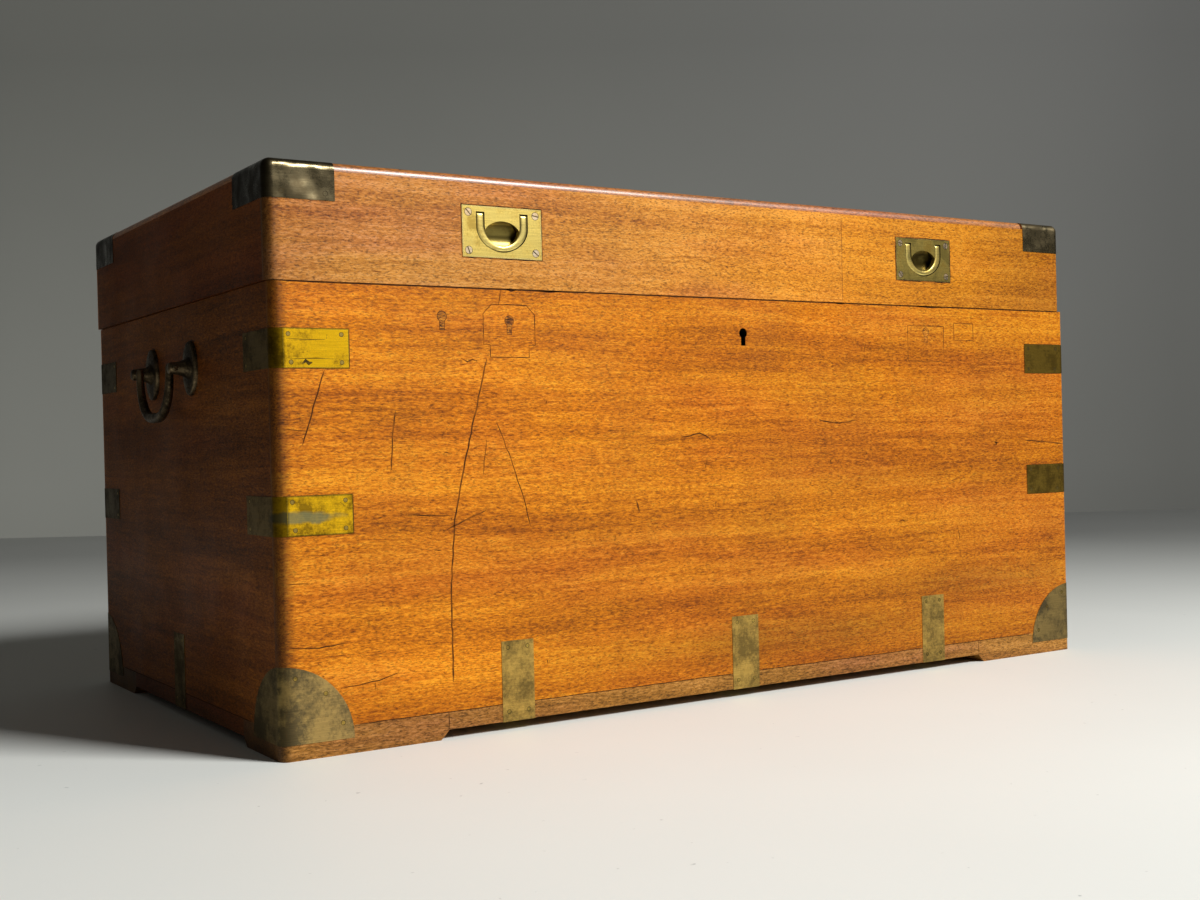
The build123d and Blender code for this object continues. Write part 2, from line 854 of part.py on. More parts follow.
long_rail = trunk_length - 2 * foot_length
short_rail = trunk_depth - front_foot_depth - back_foot_depth
short_rail_y = (front_foot_depth - back_foot_depth) / 2
front_rail = plinth_rail(long_rail, rail_width, 0, front_face + rail_width / 2)
left_rail = plinth_rail(rail_width, short_rail, end_wall + rail_width / 2, short_rail_y)
rails = {
    "front": front_rail,
    "back": behind(front_rail),
    "left": left_rail,
    "right": across(left_rail),
}

# Files

write(front_board, "front_board")
write(back_board, "back_board")
write(left_end_board, "left_end_board")
write(right_end_board, "right_end_board")
write(bottom_board.part, "bottom_board")
for corner, block in feet.items():
    write(pocketed(block, [plates[corner]]), f"{corner}_foot")
for side, rail in rails.items():
    write(pocketed(rail, [base_straps[side]]), f"{side}_plinth_rail")
for corner, strap in straps.items():
    write(strap, f"{corner}_corner_straps")
write(together(plates.values()), "base_corner_plates")
for side, strap in base_straps.items():
    write(strap, f"{side}_base_straps")
write(front_patches.part, "front_patches")
write(lock_plate.part, "lock_plate")
write(lock_cap.part, "lock_cap")
write(lock_bolt.part, "lock_bolt")
write(lock_lever.part, "lock_lever")
write(link_plate.part, "link_plate")
write(carcass_leaves, "carcass_hinge_leaves")
write(lid_leaves, "lid_hinge_leaves")
write(hinge_pins, "hinge_pins")
write(lid_top, "lid_top")
write(lid_front, "lid_front")
write(lid_back, "lid_back")
write(lid_left_end, "lid_left_end")
write(lid_right_end, "lid_right_end")
write(together(caps.values()), "lid_caps")
write(together([flush_plate(left_flush_x), flush_plate(right_flush_x)]), "flush_handle_plates")
write(flush_bail(left_flush_x), "left_flush_bail")
write(flush_bail(right_flush_x), "right_flush_bail")
write(pair(left_backplates), "end_handle_plates")
write(left_end_bail.part, "left_end_bail")
write(across(left_end_bail.part), "right_end_bail")
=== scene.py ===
import math
import random

import bmesh
import bpy
from mathutils import Matrix, Vector


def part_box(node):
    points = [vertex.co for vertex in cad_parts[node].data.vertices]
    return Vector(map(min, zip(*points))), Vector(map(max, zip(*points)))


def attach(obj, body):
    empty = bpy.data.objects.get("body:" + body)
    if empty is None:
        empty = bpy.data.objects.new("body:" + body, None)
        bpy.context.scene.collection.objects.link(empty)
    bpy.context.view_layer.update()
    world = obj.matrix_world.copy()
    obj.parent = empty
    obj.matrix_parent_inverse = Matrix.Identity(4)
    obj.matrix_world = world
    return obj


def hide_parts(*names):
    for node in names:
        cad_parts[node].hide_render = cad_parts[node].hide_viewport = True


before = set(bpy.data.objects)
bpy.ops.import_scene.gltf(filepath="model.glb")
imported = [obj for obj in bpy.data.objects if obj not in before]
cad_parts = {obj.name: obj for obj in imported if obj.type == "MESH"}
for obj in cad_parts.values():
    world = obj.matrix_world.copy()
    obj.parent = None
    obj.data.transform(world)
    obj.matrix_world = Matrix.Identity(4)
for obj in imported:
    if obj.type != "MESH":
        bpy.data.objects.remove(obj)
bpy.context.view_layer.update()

# Studio: a pale painted floor and a grey wall, and one soft lamp high before the right half of the front,
# which leaves the left end in shade. The floor's paint is darker towards the far side, and the wall's
# towards its right and its top, as painted falloff of the lamp's light. The brass mirrors a dim panel, and
# the camera stands low off the left front corner.

mm = 0.001
floor_colour = "#e7e9e3"
wall_colour = "#b0b1a9"
wall_distance = 4.3
wall_height = 4.0
floor_reach = 6.0
camera_place = Vector((-0.8549, -1.3376, 0.2419))
camera_yaw = math.radians(32.83)
camera_pitch = math.radians(-0.34)
camera_roll = math.radians(1.40)
focal_pixels = 1465.8
image_width = 1200
sensor_width = 36.0
key_direction = Vector((0.349, -0.675, 0.650)).normalized()
key_distance = 4.15
key_size = 1.2
key_power = 225.0
card_direction = Vector((0.40, -0.87, 0.30)).normalized()
card_distance = 3.6
card_size = 1.2
card_power = 4.0
lamps_face = Vector((0, 0, 0.2))
fill_colour = "#f3efe8"
fill_strength = 0.06
mottle_size = 700 * mm
speck_size = 9 * mm


def linear(code):
    """The linear RGBA of an sRGB hex colour."""
    channels = [int(code[place:place + 2], 16) / 255 for place in (1, 3, 5)]
    return [c / 12.92 if c <= 0.04045 else ((c + 0.055) / 1.055) ** 2.4 for c in channels] + [1.0]


def add(tree, kind, inputs=(), stops=(), **settings):
    """Add a node with its settings, inputs (values, or nodes and sockets to link) and ramp stops."""
    made = tree.nodes.new("ShaderNode" + kind)
    for name, value in settings.items():
        setattr(made, name, value)
    for place, value in dict(inputs).items():
        if isinstance(value, bpy.types.Node):
            value = value.outputs[0]
        if isinstance(value, bpy.types.NodeSocket):
            tree.links.new(value, made.inputs[place])
        else:
            made.inputs[place].default_value = value
    if stops:
        elements = made.color_ramp.elements
        while len(elements) < len(stops):
            elements.new(1.0)
        for element, (position, code) in zip(elements, stops):
            element.position = position
            element.color = linear(code)
    return made


def noise(tree, place, size, detail=3.0, roughness=0.5, distortion=0.0):
    """Noise whose blobs are about one size, given in metres along each axis or as one number."""
    sizes = size if isinstance(size, tuple) else (size, size, size)
    stretched = add(tree, "VectorMath", {0: place, 1: [1 / side for side in sizes]}, operation="MULTIPLY")
    return add(tree, "TexNoise", {
        "Vector": stretched,
        "Scale": 1.0,
        "Detail": detail,
        "Roughness": roughness,
        "Distortion": distortion,
    })


def span(tree, value, low, high, to_low, to_high):
    """Map a value between two limits to a value between two others, and hold it there."""
    limits = {"Value": value, "From Min": low, "From Max": high, "To Min": to_low, "To Max": to_high}
    return add(tree, "MapRange", limits)


def product(tree, *values):
    """Multiply values together."""
    result = values[0]
    for value in values[1:]:
        result = add(tree, "Math", {0: result, 1: value}, operation="MULTIPLY")
    return result


def new_tree(name):
    """An empty material and its tree."""
    made = bpy.data.materials.new(name)
    made.use_nodes = True
    made.node_tree.nodes.clear()
    return made, made.node_tree


def close(tree, inputs):
    """The shader at the end of a tree."""
    shader = add(tree, "BsdfPrincipled", inputs)
    add(tree, "OutputMaterial", {"Surface": shader})


def painted(name, colour, grain, depth, specks=0.0, fades=()):
    """Matt paint with a faint texture, a soft mottle and a few dark specks.

    A fade is painted shade: (direction, start, end, tone at the end).
    """
    made, tree = new_tree(name)
    place = add(tree, "TexCoord").outputs["Object"]
    tone = span(tree, noise(tree, place, mottle_size, 4.0), 0.3, 0.7, 0.97, 1.02)
    for direction, start, end, end_tone in fades:
        along = add(tree, "VectorMath", {0: place, 1: direction}, operation="DOT_PRODUCT").outputs["Value"]
        tone = product(tree, tone, span(tree, along, start, end, 1.0, end_tone))
    dust = span(tree, noise(tree, place, speck_size, 2.0), 0.74, 0.80, 1.0, 1.0 - specks)
    tone = product(tree, tone, dust)
    shade = add(tree, "VectorMath", {0: linear(colour)[:3], "Scale": tone}, operation="SCALE")
    relief = add(tree, "Bump", {"Height": noise(tree, place, grain, 2.0), "Strength": 0.2, "Distance": depth})
    close(tree, {"Base Color": shade, "Roughness": 0.6, "Normal": relief})
    return made


def sheet(name, corners, material):
    """A flat four-cornered sheet of the studio."""
    mesh = bpy.data.meshes.new(name)
    mesh.from_pydata([tuple(corner) for corner in corners], [], [(0, 1, 2, 3)])
    mesh.materials.append(material)
    made = bpy.data.objects.new(name, mesh)
    bpy.context.scene.collection.objects.link(made)


def lamp(name, direction, distance, size, power):
    """A square lamp that faces the trunk's middle."""
    made = bpy.data.objects.new(name, bpy.data.lights.new(name, "AREA"))
    bpy.context.scene.collection.objects.link(made)
    made.data.size = size
    made.data.energy = power
    made.location = direction * distance + lamps_face
    made.rotation_euler = direction.to_track_quat("Z", "Y").to_euler()


forward = Vector((
    math.sin(camera_yaw) * math.cos(camera_pitch),
    math.cos(camera_yaw) * math.cos(camera_pitch),
    math.sin(camera_pitch),
))
level_right = Vector((math.cos(camera_yaw), -math.sin(camera_yaw), 0))
level_down = forward.cross(level_right)
right = level_right * math.cos(camera_roll) + level_down * math.sin(camera_roll)
down = level_down * math.cos(camera_roll) - level_right * math.sin(camera_roll)
camera = bpy.data.objects.new("camera", bpy.data.cameras.new("camera"))
bpy.context.scene.collection.objects.link(camera)
camera_axes = Matrix((right, -down, -forward)).transposed()
camera.matrix_world = Matrix.Translation(camera_place) @ camera_axes.to_4x4()
camera.data.sensor_width = sensor_width
camera.data.lens = focal_pixels / image_width * sensor_width
bpy.context.scene.camera = camera

level_forward = Vector((forward.x, forward.y, 0)).normalized()
# Painted shade: the floor darkens away from the camera, and the wall to its right and its top, as the lamp's
# falloff.
floor_painted_falloff = [(level_forward, -0.6, 1.9, 0.40), (level_forward + level_right, 1.0, 2.8, 0.62)]
wall_painted_falloff = [(level_right, -1.7, 1.7, 0.30), ((0, 0, 1), 0.15, 1.4, 0.5)]
wall_foot = Vector((camera_place.x, camera_place.y, 0)) + level_forward * wall_distance
wall_side = level_right * wall_distance
wall_top = Vector((0, 0, wall_height))
sheet("floor", [
    (-floor_reach, -floor_reach, 0),
    (floor_reach, -floor_reach, 0),
    (floor_reach, floor_reach, 0),
    (-floor_reach, floor_reach, 0),
], painted("floor_paint", floor_colour, 6 * mm, 0.3 * mm, specks=0.35, fades=floor_painted_falloff))
sheet("wall", [
    wall_foot - wall_side,
    wall_foot + wall_side,
    wall_foot + wall_side + wall_top,
    wall_foot - wall_side + wall_top,
], painted("wall_paint", wall_colour, 4 * mm, 0.1 * mm, fades=wall_painted_falloff))
lamp("key_lamp", key_direction, key_distance, key_size, key_power)
lamp("reflector", card_direction, card_distance, card_size, card_power)

world = bpy.data.worlds.new("studio")
bpy.context.scene.world = world
world.use_nodes = True
world.node_tree.nodes["Background"].inputs["Color"].default_value = linear(fill_colour)
world.node_tree.nodes["Background"].inputs["Strength"].default_value = fill_strength
bpy.context.scene.view_settings.view_transform = "Standard"

# Carcass: four boards and a bottom of orange-brown camphor wood, planed, stained and waxed. The eye sees
# soft bands along the grain, fine streaks and short dark pores, faint bars of painted sheen across them,
# and thin lines that bend round the knots.

band = (700 * mm, 30 * mm)
streak = (120 * mm, 5 * mm)
fibre = (5.5 * mm, 1.3 * mm)
band_weight = 0.75
streak_weight = 0.75
fibre_weight = 1.5
pore = (3.2 * mm, 1.1 * mm)  # real pores are about 0.3 mm wide, too fine to show
sheen_bar_size = (26 * mm, 160 * mm)
cast = (240 * mm, 45 * mm)
red_cast = (0.92, 0.80, 1.25)
waves = ((260 * mm, 9 * mm), (45 * mm, 1.6 * mm))  # how long and how high the grain's waves are
figure_swing = 0.35  # how far the mixed figure runs from its middle to its darkest, where the contrast is 1
pore_darkness = 0.55
blot_size = 110 * mm
knot_swerve = 60 * mm
plank_blur = 0.2 * mm
knot_ring = 0.22  # half the gap between the lines round a knot, as a share of its reach
wax_roughness = 0.42
grain_depth = 0.15 * mm


def shares_away(tree, place, middle, reach):
    """The way from a middle to a place, each axis as a share of its reach, or nothing where that is None."""
    away = add(tree, "VectorMath", {0: place, 1: middle}, operation="SUBTRACT")
    shares = [1 / side if side else 0 for side in reach]
    return add(tree, "VectorMath", {0: away, 1: shares}, operation="MULTIPLY")


def how_far(tree, way):
    """The length of a way."""
    return add(tree, "VectorMath", {0: way}, operation="LENGTH").outputs["Value"]


def faded(tree, tone, place, fades):
    """Multiply a tone by fades along the axes, each (axis, start, end, tone at the end)."""
    axes = add(tree, "SeparateXYZ", {"Vector": place})
    for axis, start, end, end_tone in fades:
        tone = product(tree, tone, span(tree, axes.outputs[axis], start, end, 1.0, end_tone))
    return tone


def camphor(name, light, middle, dark, turned=False, start=0.0, contrast=1.0, knots=(), fades=(), shades=(),
            plank=None, gloss=0.15, coat=0.0, coat_roughness=0.16):
    """Waxed camphor wood, with its grain along X, or along Y where it is turned.

    A knot is (x, z, reach along the grain, reach across it). A shade is a soft darker or paler patch: the
    same four and the tone in its middle. A plank is (x of its right edge, tone of its wood, x where that tone
    starts to weaken, x where it has weakened most, the share that is gone there). Fades are faded()'s.
    """
    made, tree = new_tree(name)
    place = add(tree, "TexCoord").outputs["Object"]
    board = add(tree, "VectorMath", {0: place, 1: (start, start, start / 3)}, operation="ADD")
    for length, height in waves:
        swell = noise(tree, board, (length, length, length / 2), 1.0)
        swell = add(tree, "VectorMath", {0: swell.outputs["Color"], "Scale": height}, operation="SCALE")
        board = add(tree, "VectorMath", {0: board, 1: swell}, operation="ADD")

    def along(size, *settings):
        length, width = size
        sizes = (width, length, width) if turned else (length, width, width)
        return noise(tree, board, sizes, *settings)

    mix = product(tree, along(band, 2.0, 0.5, 0.3), band_weight)
    for size, weight in ((streak, streak_weight), (fibre, fibre_weight)):
        mix = add(tree, "Math", {0: along(size, 3.0, 0.7), 1: weight, 2: mix}, operation="MULTIPLY_ADD")
    middle_value = (band_weight + streak_weight + fibre_weight) / 2
    swing = figure_swing / contrast
    mix = span(tree, mix, middle_value - swing, middle_value + swing, 0.0, 1.0)
    colour = add(tree, "ValToRGB", {"Fac": mix}, stops=[(0.0, dark), (0.5, middle), (1.0, light)])

    pits = span(tree, along(pore, 2.0, 0.65), 0.50, 0.68, 1.0, 1.0 - pore_darkness * contrast)
    # Painted sheen: faint paler and darker bars across the grain stand in for the wax's gleam.
    bars = span(tree, along(sheen_bar_size, 2.0), 0.35, 0.65, 0.96, 1.04)
    blots = span(tree, noise(tree, place, blot_size, 5.0, 0.6), 0.36, 0.70, 1.04, 0.89)
    tone = product(tree, pits, bars, blots)

    for knot_x, knot_z, knot_length, knot_width in knots:
        away = shares_away(tree, place, (knot_x, 0, knot_z), (knot_length, None, knot_width))
        swerve = noise(tree, place, knot_swerve, 2.0).outputs["Color"]
        swerve = add(tree, "VectorMath", {0: swerve, "Scale": 0.5}, operation="SCALE")
        distance = how_far(tree, add(tree, "VectorMath", {0: away, 1: swerve}, operation="ADD"))
        ring = add(tree, "Math", {0: distance, 1: knot_ring}, operation="PINGPONG")
        line = span(tree, ring, 0.0, 0.035, 0.78, 1.0)
        fade = span(tree, distance, 0.3, 1.25, 0.0, 1.0)
        line = add(tree, "Math", {0: line, 1: fade}, operation="MAXIMUM")
        heart = span(tree, distance, 0.05, 0.32, 0.72, 1.0)
        tone = product(tree, tone, line, heart)

    for shade_x, shade_z, shade_length, shade_width, middle_tone in shades:
        away = shares_away(tree, place, (shade_x, 0, shade_z), (shade_length, None, shade_width))
        tone = product(tree, tone, span(tree, how_far(tree, away), 0.3, 1.0, middle_tone, 1.0))

    tone = faded(tree, tone, place, fades)
    shade = add(tree, "VectorMath", {0: colour, "Scale": tone}, operation="SCALE")
    redder = span(tree, along(cast, 3.0, 0.6), 0.42, 0.68, 0.0, 1.0)
    reddened = add(tree, "VectorMath", {0: shade, 1: red_cast}, operation="MULTIPLY")
    shade = add(tree, "Mix", {"Factor": redder, 4: shade, 5: reddened}, data_type="VECTOR").outputs[1]
    if plank:
        edge, tint, weaker_from, weaker_to, gone = plank
        across = add(tree, "SeparateXYZ", {"Vector": place}).outputs["X"]
        beyond = span(tree, across, edge - plank_blur, edge + plank_blur, 0.0, 1.0)
        weaker = span(tree, across, weaker_from, weaker_to, 0.0, gone)
        plain = add(tree, "Math", {0: beyond, 1: weaker}, operation="MAXIMUM")
        tinted = add(tree, "VectorMath", {0: shade, 1: tint}, operation="MULTIPLY")
        shade = add(tree, "Mix", {"Factor": plain, 4: tinted, 5: shade}, data_type="VECTOR").outputs[1]

    dullness = span(tree, blots, 0.87, 1.05, wax_roughness + 0.12, wax_roughness - 0.05)
    height = add(tree, "Math", {0: pits, 1: mix}, operation="ADD")
    relief = add(tree, "Bump", {"Height": height, "Strength": 0.5, "Distance": grain_depth})
    close(tree, {
        "Base Color": shade,
        "Roughness": dullness,
        "Specular IOR Level": gloss,
        "Normal": relief,
        "Coat Weight": coat,
        "Coat Roughness": coat_roughness,
    })
    return made


def dress(material, *nodes):
    """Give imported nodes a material."""
    for node in nodes:
        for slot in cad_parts[node].material_slots:
            slot.material = material


# Painted shade: the front is darker round its rounded left corner and towards its right end.
front_wood = camphor(
    "camphor_front", "#ec9c22", "#cb760c", "#8e4a04", start=0.13,
    knots=[(-36 * mm, 236 * mm, 46 * mm, 17 * mm), (17 * mm, 169 * mm, 26 * mm, 9 * mm)],
    fades=[("X", -0.4405, -0.4500, 0.24), ("X", -0.30, 0.30, 0.80), ("Z", 0.16, 0.03, 0.89)],
    shades=[
        (-0.34, 0.07, 0.14, 0.06, 1.15),
        (0.05, 0.052, 0.24, 0.026, 0.70),
        (0.31, 0.088, 0.20, 0.024, 0.76),
        (-0.10, 0.160, 0.22, 0.018, 0.90),
        (0.20, 0.200, 0.16, 0.016, 0.90),
    ],
)
# Painted shade and light: the ends are the same wood in much darker colours, as shade of the end that faces
# away from the lamp, and paler towards the bottom, as painted light from the floor.
shaded_end_wood = camphor(
    "camphor_ends_painted_shade", "#8c5218", "#6a390c", "#402004", turned=True, start=0.7, gloss=0.08,
    fades=[("Z", 0.26, 0.06, 1.35)],
)
back_wood = camphor("camphor_back", "#bd7a36", "#a06128", "#74401a", start=1.9)
bottom_wood = camphor("camphor_bottom", "#c79a62", "#b08450", "#8c6238", start=2.7)
dress(front_wood, "front_board", "front_patches")
dress(shaded_end_wood, "left_end_board", "right_end_board")
dress(back_wood, "back_board")
dress(bottom_wood, "bottom_board")

# Lid: four boards of the same wood under a top board with a rounded lip. The front one is two planks
# joined end to end, of which the left one is browner, and paler towards its left end as painted sheen. The
# front is painted darker round its rounded left corner and towards its right end as shade. The top is
# redder and more polished.

plank_joint = 131.7 * mm
# Partly painted sheen: the tint's strong blue pales the left plank towards its left end.
plank_tone_and_sheen = (0.90, 1.02, 3.1)
# Painted shade: the lid's front is darker round its rounded left corner and towards its right end.
lid_wood = camphor(
    "camphor_lid", "#e3972a", "#c97c16", "#92500a", start=0.37, contrast=1.1,
    fades=[("X", -0.05, -0.44, 0.88), ("X", -0.4445, -0.4540, 0.24), ("X", 0.12, 0.42, 0.66)],
    plank=(plank_joint, plank_tone_and_sheen, -0.30, 0.05, 0.75), coat=0.12,
)
# Painted shade: the lid's ends are the same wood in much darker colours, as shade of the end away from the
# lamp.
shaded_lid_end_wood = camphor(
    "camphor_lid_ends_painted_shade", "#7c4414", "#61320c", "#402006", turned=True, start=1.1, gloss=0.08,
)
top_wood = camphor(
    "camphor_top", "#bd7631", "#995a1d", "#6c3d10", start=3.3, contrast=1.3,
    gloss=0.5, coat=0.6, coat_roughness=0.27,
)
dress(lid_wood, "lid_front")
dress(back_wood, "lid_back")
dress(shaded_lid_end_wood, "lid_left_end", "lid_right_end")
dress(top_wood, "lid_top")

# Base: four plinth rails and four low foot blocks of the same wood, glued under the carcass and flush
# with it. They are browner and dirtier than the boards above them. The end rails are a darker copy of
# the wood as painted shade, and the front is painted darker round its rounded left corner as shade.

# Painted shade: darker round the rounded left corner.
base_wood = camphor(
    "camphor_base", "#bb8440", "#986626", "#644117", start=4.1, contrast=1.15,
    fades=[("X", -0.4440, -0.4530, 0.35)],
)
# Painted shade: the end rails are the same wood in much darker colours.
shaded_base_side_wood = camphor(
    "camphor_base_sides_painted_shade", "#8a5026", "#6f3e1a", "#4b2910", turned=True, start=5.3, gloss=0.08,
)
dress(base_wood, "front_left_foot", "front_right_foot", "back_left_foot", "back_right_foot")
dress(base_wood, "front_plinth_rail", "back_plinth_rail")
dress(shaded_base_side_wood, "left_plinth_rail", "right_plinth_rail")

# Brass: straps, corner plates, caps and handle plates, cut from sheet or cast, let into the wood and
# pinned, and the hinges and the lock. The eye sees yellow metal that turns olive and brown in clouds and
# spots, with a satin gloss from old rubbing. The right and back straps are a darker copy of the strap
# brass, as painted shade. Fades paint the brass darker round the rounded left corner and on the right as
# shade, darker in the handles' bowls as shade and tarnish, and the far right cap paler as painted light.

flush_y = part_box("flush_handle_plates")[0].y
strap_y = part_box("front_left_corner_straps")[0].y
cloud = 22 * mm
cloud_weight = 2.4
spot = 2.4 * mm
spot_weight = 0.7
pit_depth = 0.03 * mm
brush = (30 * mm, 30 * mm, 0.9 * mm)
brush_depth = 0.03 * mm
rub = (28 * mm, 28 * mm, 0.9 * mm)
dent = 24 * mm
off_the_wood = (3.17, 5.41, 7.93)  # metres from the wood's noise, so that the two don't run on
stain_edge = 9 * mm
stain_grey = "#777552"
# Painted shade: brass darker where it bends round the rounded left corner.
shade_round_the_left_corner = ("X", -0.4435, -0.4460, 0.20)


def brass(name, clean, tarnish, cover, rough=0.34, dent_depth=0.0, stains=(), fades=()):
    """Old brass, or bronze or steel by its colours: clean metal under tarnish in clouds and spots.

    A stain is (x, z, half length, half height) of a grey patch on the front straps. Fades are faded()'s.
    """
    made, tree = new_tree(name)
    place = add(tree, "TexCoord").outputs["Object"]
    shifted = add(tree, "VectorMath", {0: place, 1: off_the_wood}, operation="ADD")
    spots = noise(tree, shifted, spot, 3.0, 0.7)
    clouds = noise(tree, shifted, cloud, 6.0, 0.66)
    both = product(tree, spots, spot_weight)
    both = add(tree, "Math", {0: clouds, 1: cloud_weight, 2: both}, operation="MULTIPLY_ADD")
    share = span(tree, both, 1.62 - 0.60 * cover, 2.12 - 0.60 * cover, 0.0, 1.0)
    colour = add(tree, "Mix", {"Factor": share, "A": linear(clean), "B": linear(tarnish)}, data_type="RGBA")
    colour = colour.outputs["Result"]
    for stain_x, stain_z, half_length, half_height in stains:
        away = shares_away(tree, place, (stain_x, strap_y, stain_z), (half_length, half_length, half_height))
        ragged = noise(tree, place, stain_edge, 3.0).outputs["Color"]
        distance = how_far(tree, add(tree, "VectorMath", {0: ragged, 1: away}, operation="ADD"))
        patch = span(tree, distance, 0.9, 1.3, 0.85, 0.0)
        stained = add(tree, "Mix", {"Factor": patch, "A": colour, "B": linear(stain_grey)}, data_type="RGBA")
        colour = stained.outputs["Result"]
        share = add(tree, "Math", {0: share, 1: patch}, operation="MAXIMUM")
    tone = span(tree, noise(tree, shifted, rub, 3.0, 0.7), 0.35, 0.65, 0.84, 1.14)
    tone = faded(tree, tone, place, fades)
    colour = add(tree, "VectorMath", {0: colour, "Scale": tone}, operation="SCALE")
    gloss = span(tree, share, 0.0, 1.0, rough, rough + 0.2)
    dents = product(tree, noise(tree, place, dent, 1.0), dent_depth)
    pits = product(tree, spots, pit_depth)
    lines = product(tree, noise(tree, place, brush, 2.0), brush_depth)
    relief = add(tree, "Math", {0: dents, 1: pits}, operation="ADD")
    relief = add(tree, "Math", {0: relief, 1: lines}, operation="ADD")
    relief = add(tree, "Bump", {"Height": relief, "Strength": 1.0, "Distance": 1.0})
    close(tree, {"Base Color": colour, "Metallic": 1.0, "Roughness": gloss, "Normal": relief})
    return made


bright_straps = brass(
    "brass_straps", "#fbc41e", "#8a6a14", 0.46,
    stains=[(-421 * mm, 190.5 * mm, 32 * mm, 4.5 * mm)], fades=[shade_round_the_left_corner],
)
# Painted shade: the right and back straps are a darker copy of the strap brass, darker still towards the left
# end.
straps_in_painted_shade = brass(
    "brass_straps_painted_shade", "#7a6224", "#4b3b13", 0.5, rough=0.42, fades=[("X", -0.3, -0.39, 0.5)],
)
# Painted shade: darker where the base straps bend round the rounded left corner.
base_straps = brass(
    "brass_base_straps", "#bd9c50", "#7a6536", 0.5, rough=0.42, fades=[("X", -0.4535, -0.4550, 0.4)],
)
# Painted shade: darker round the rounded left corner and on the far right plate.
corner_brass = brass(
    "brass_corners", "#b0955a", "#6d5f40", 0.55, rough=0.45,
    fades=[("X", -0.4400, -0.4480, 0.50), ("X", 0.38, 0.41, 0.62)],
)
# Painted shade and light: darker round the rounded left corner, and paler towards the far right cap as
# painted light.
cap_brass = brass(
    "brass_caps", "#70654b", "#4f4531", 0.40, rough=0.24, dent_depth=3.0 * mm,
    fades=[("X", -0.4470, -0.4560, 0.30), ("X", 0.0, 0.4, 1.75)],
)
# Painted shade: the right plate is darker, and the bowls darken with depth, as shade and tarnish.
flush_brass = brass(
    "brass_flush_handles", "#eed272", "#a2873f", 0.30, rough=0.30,
    fades=[("X", 0.0, 0.1, 0.62), ("Y", flush_y + 0.6 * mm, flush_y + 4.5 * mm, 0.16)],
)
bail_brass = brass("brass_flush_bails", "#e2cc78", "#a58c48", 0.25, rough=0.30)
handle_bronze = brass("bronze_lift_handles", "#75644a", "#332a1e", 0.55, rough=0.36)
hinge_brass = brass("brass_hinges", "#9c8748", "#5a4b28", 0.5, rough=0.4)
lock_brass = brass("brass_lock", "#ad9450", "#66552b", 0.4, rough=0.38)
lock_steel = brass("steel_lock_works", "#8d8c88", "#5b5650", 0.4, rough=0.42)
dress(bright_straps, "front_left_corner_straps")
dress(straps_in_painted_shade, "front_right_corner_straps", "back_left_corner_straps", "back_right_corner_straps")
dress(base_straps, "front_base_straps", "back_base_straps", "left_base_straps", "right_base_straps")
dress(corner_brass, "base_corner_plates")
dress(cap_brass, "lid_caps")
dress(flush_brass, "flush_handle_plates")
dress(bail_brass, "left_flush_bail", "right_flush_bail")
dress(hinge_brass, "carcass_hinge_leaves", "lid_hinge_leaves", "hinge_pins")
dress(lock_brass, "lock_plate", "lock_cap", "link_plate")
dress(lock_steel, "lock_bolt", "lock_lever")

# Patches: three thin pieces of the same wood, let into the front board as old repairs, glued and planed
# flush. Dark wax and dust have filled the joints round them, made as thin strips that lie on the wood.

front_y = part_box("front_board")[0].y
joint_line = 0.85 * mm
line_rise = 0.03 * mm


def grime(name, colour, bare=None):
    """Dark wax and dust that has filled a joint or a scratch, and here and there lets the bare wood show;
    also black painted shade in holes, gaps and round heads.
    """
    made, tree = new_tree(name)
    place = add(tree, "TexCoord").outputs["Object"]
    tone = span(tree, noise(tree, place, 4 * mm, 3.0), 0.3, 0.7, 0.75, 1.35)
    share = span(tree, noise(tree, place, 14 * mm, 4.0, 0.6), 0.42, 0.60, 0.0, 1.0)
    filled, worn = linear(colour), linear(bare or colour)
    shade = add(tree, "Mix", {"Factor": share, "A": filled, "B": worn}, data_type="RGBA").outputs["Result"]
    shade = add(tree, "VectorMath", {0: shade, "Scale": tone}, operation="SCALE")
    close(tree, {"Base Color": shade, "Roughness": 0.7, "Specular IOR Level": 0.1})
    return made


def placed(name, shape, material, slot, body, *nodes):
    """A finished shape as a piece of the trunk: its finish, its body and the nodes that it stands for."""
    mesh = bpy.data.meshes.new(name)
    bmesh.ops.recalc_face_normals(shape, faces=shape.faces)
    shape.to_mesh(mesh)
    shape.free()
    mesh.materials.append(material)
    made = bpy.data.objects.new(name, mesh)
    bpy.context.scene.collection.objects.link(made)
    if nodes:
        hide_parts(*nodes)
    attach(made, body)
    return made


def facing(x, y, z, out, across):
    """A frame at a point of a face: X runs across the face, Y up it and Z out of it."""
    out = Vector(out)
    across = Vector(across)
    return Matrix.Translation((x, y, z)) @ Matrix((across, out.cross(across), out)).transposed().to_4x4()


def on_front(x, z, y=front_y):
    """A frame on the front face."""
    return facing(x, y, z, (0, -1, 0), (1, 0, 0))


def skin(shape, rows, closed=False):
    """Join outlines into one form, with a face on both ends, or joined to a ring where it is closed."""
    for row, following in zip(rows, rows[1:] + rows[:1] if closed else rows[1:]):
        for n in range(len(row)):
            shape.faces.new((row[n - 1], row[n], following[n], following[n - 1]))
    if not closed:
        shape.faces.new(rows[0])
        shape.faces.new(rows[-1])


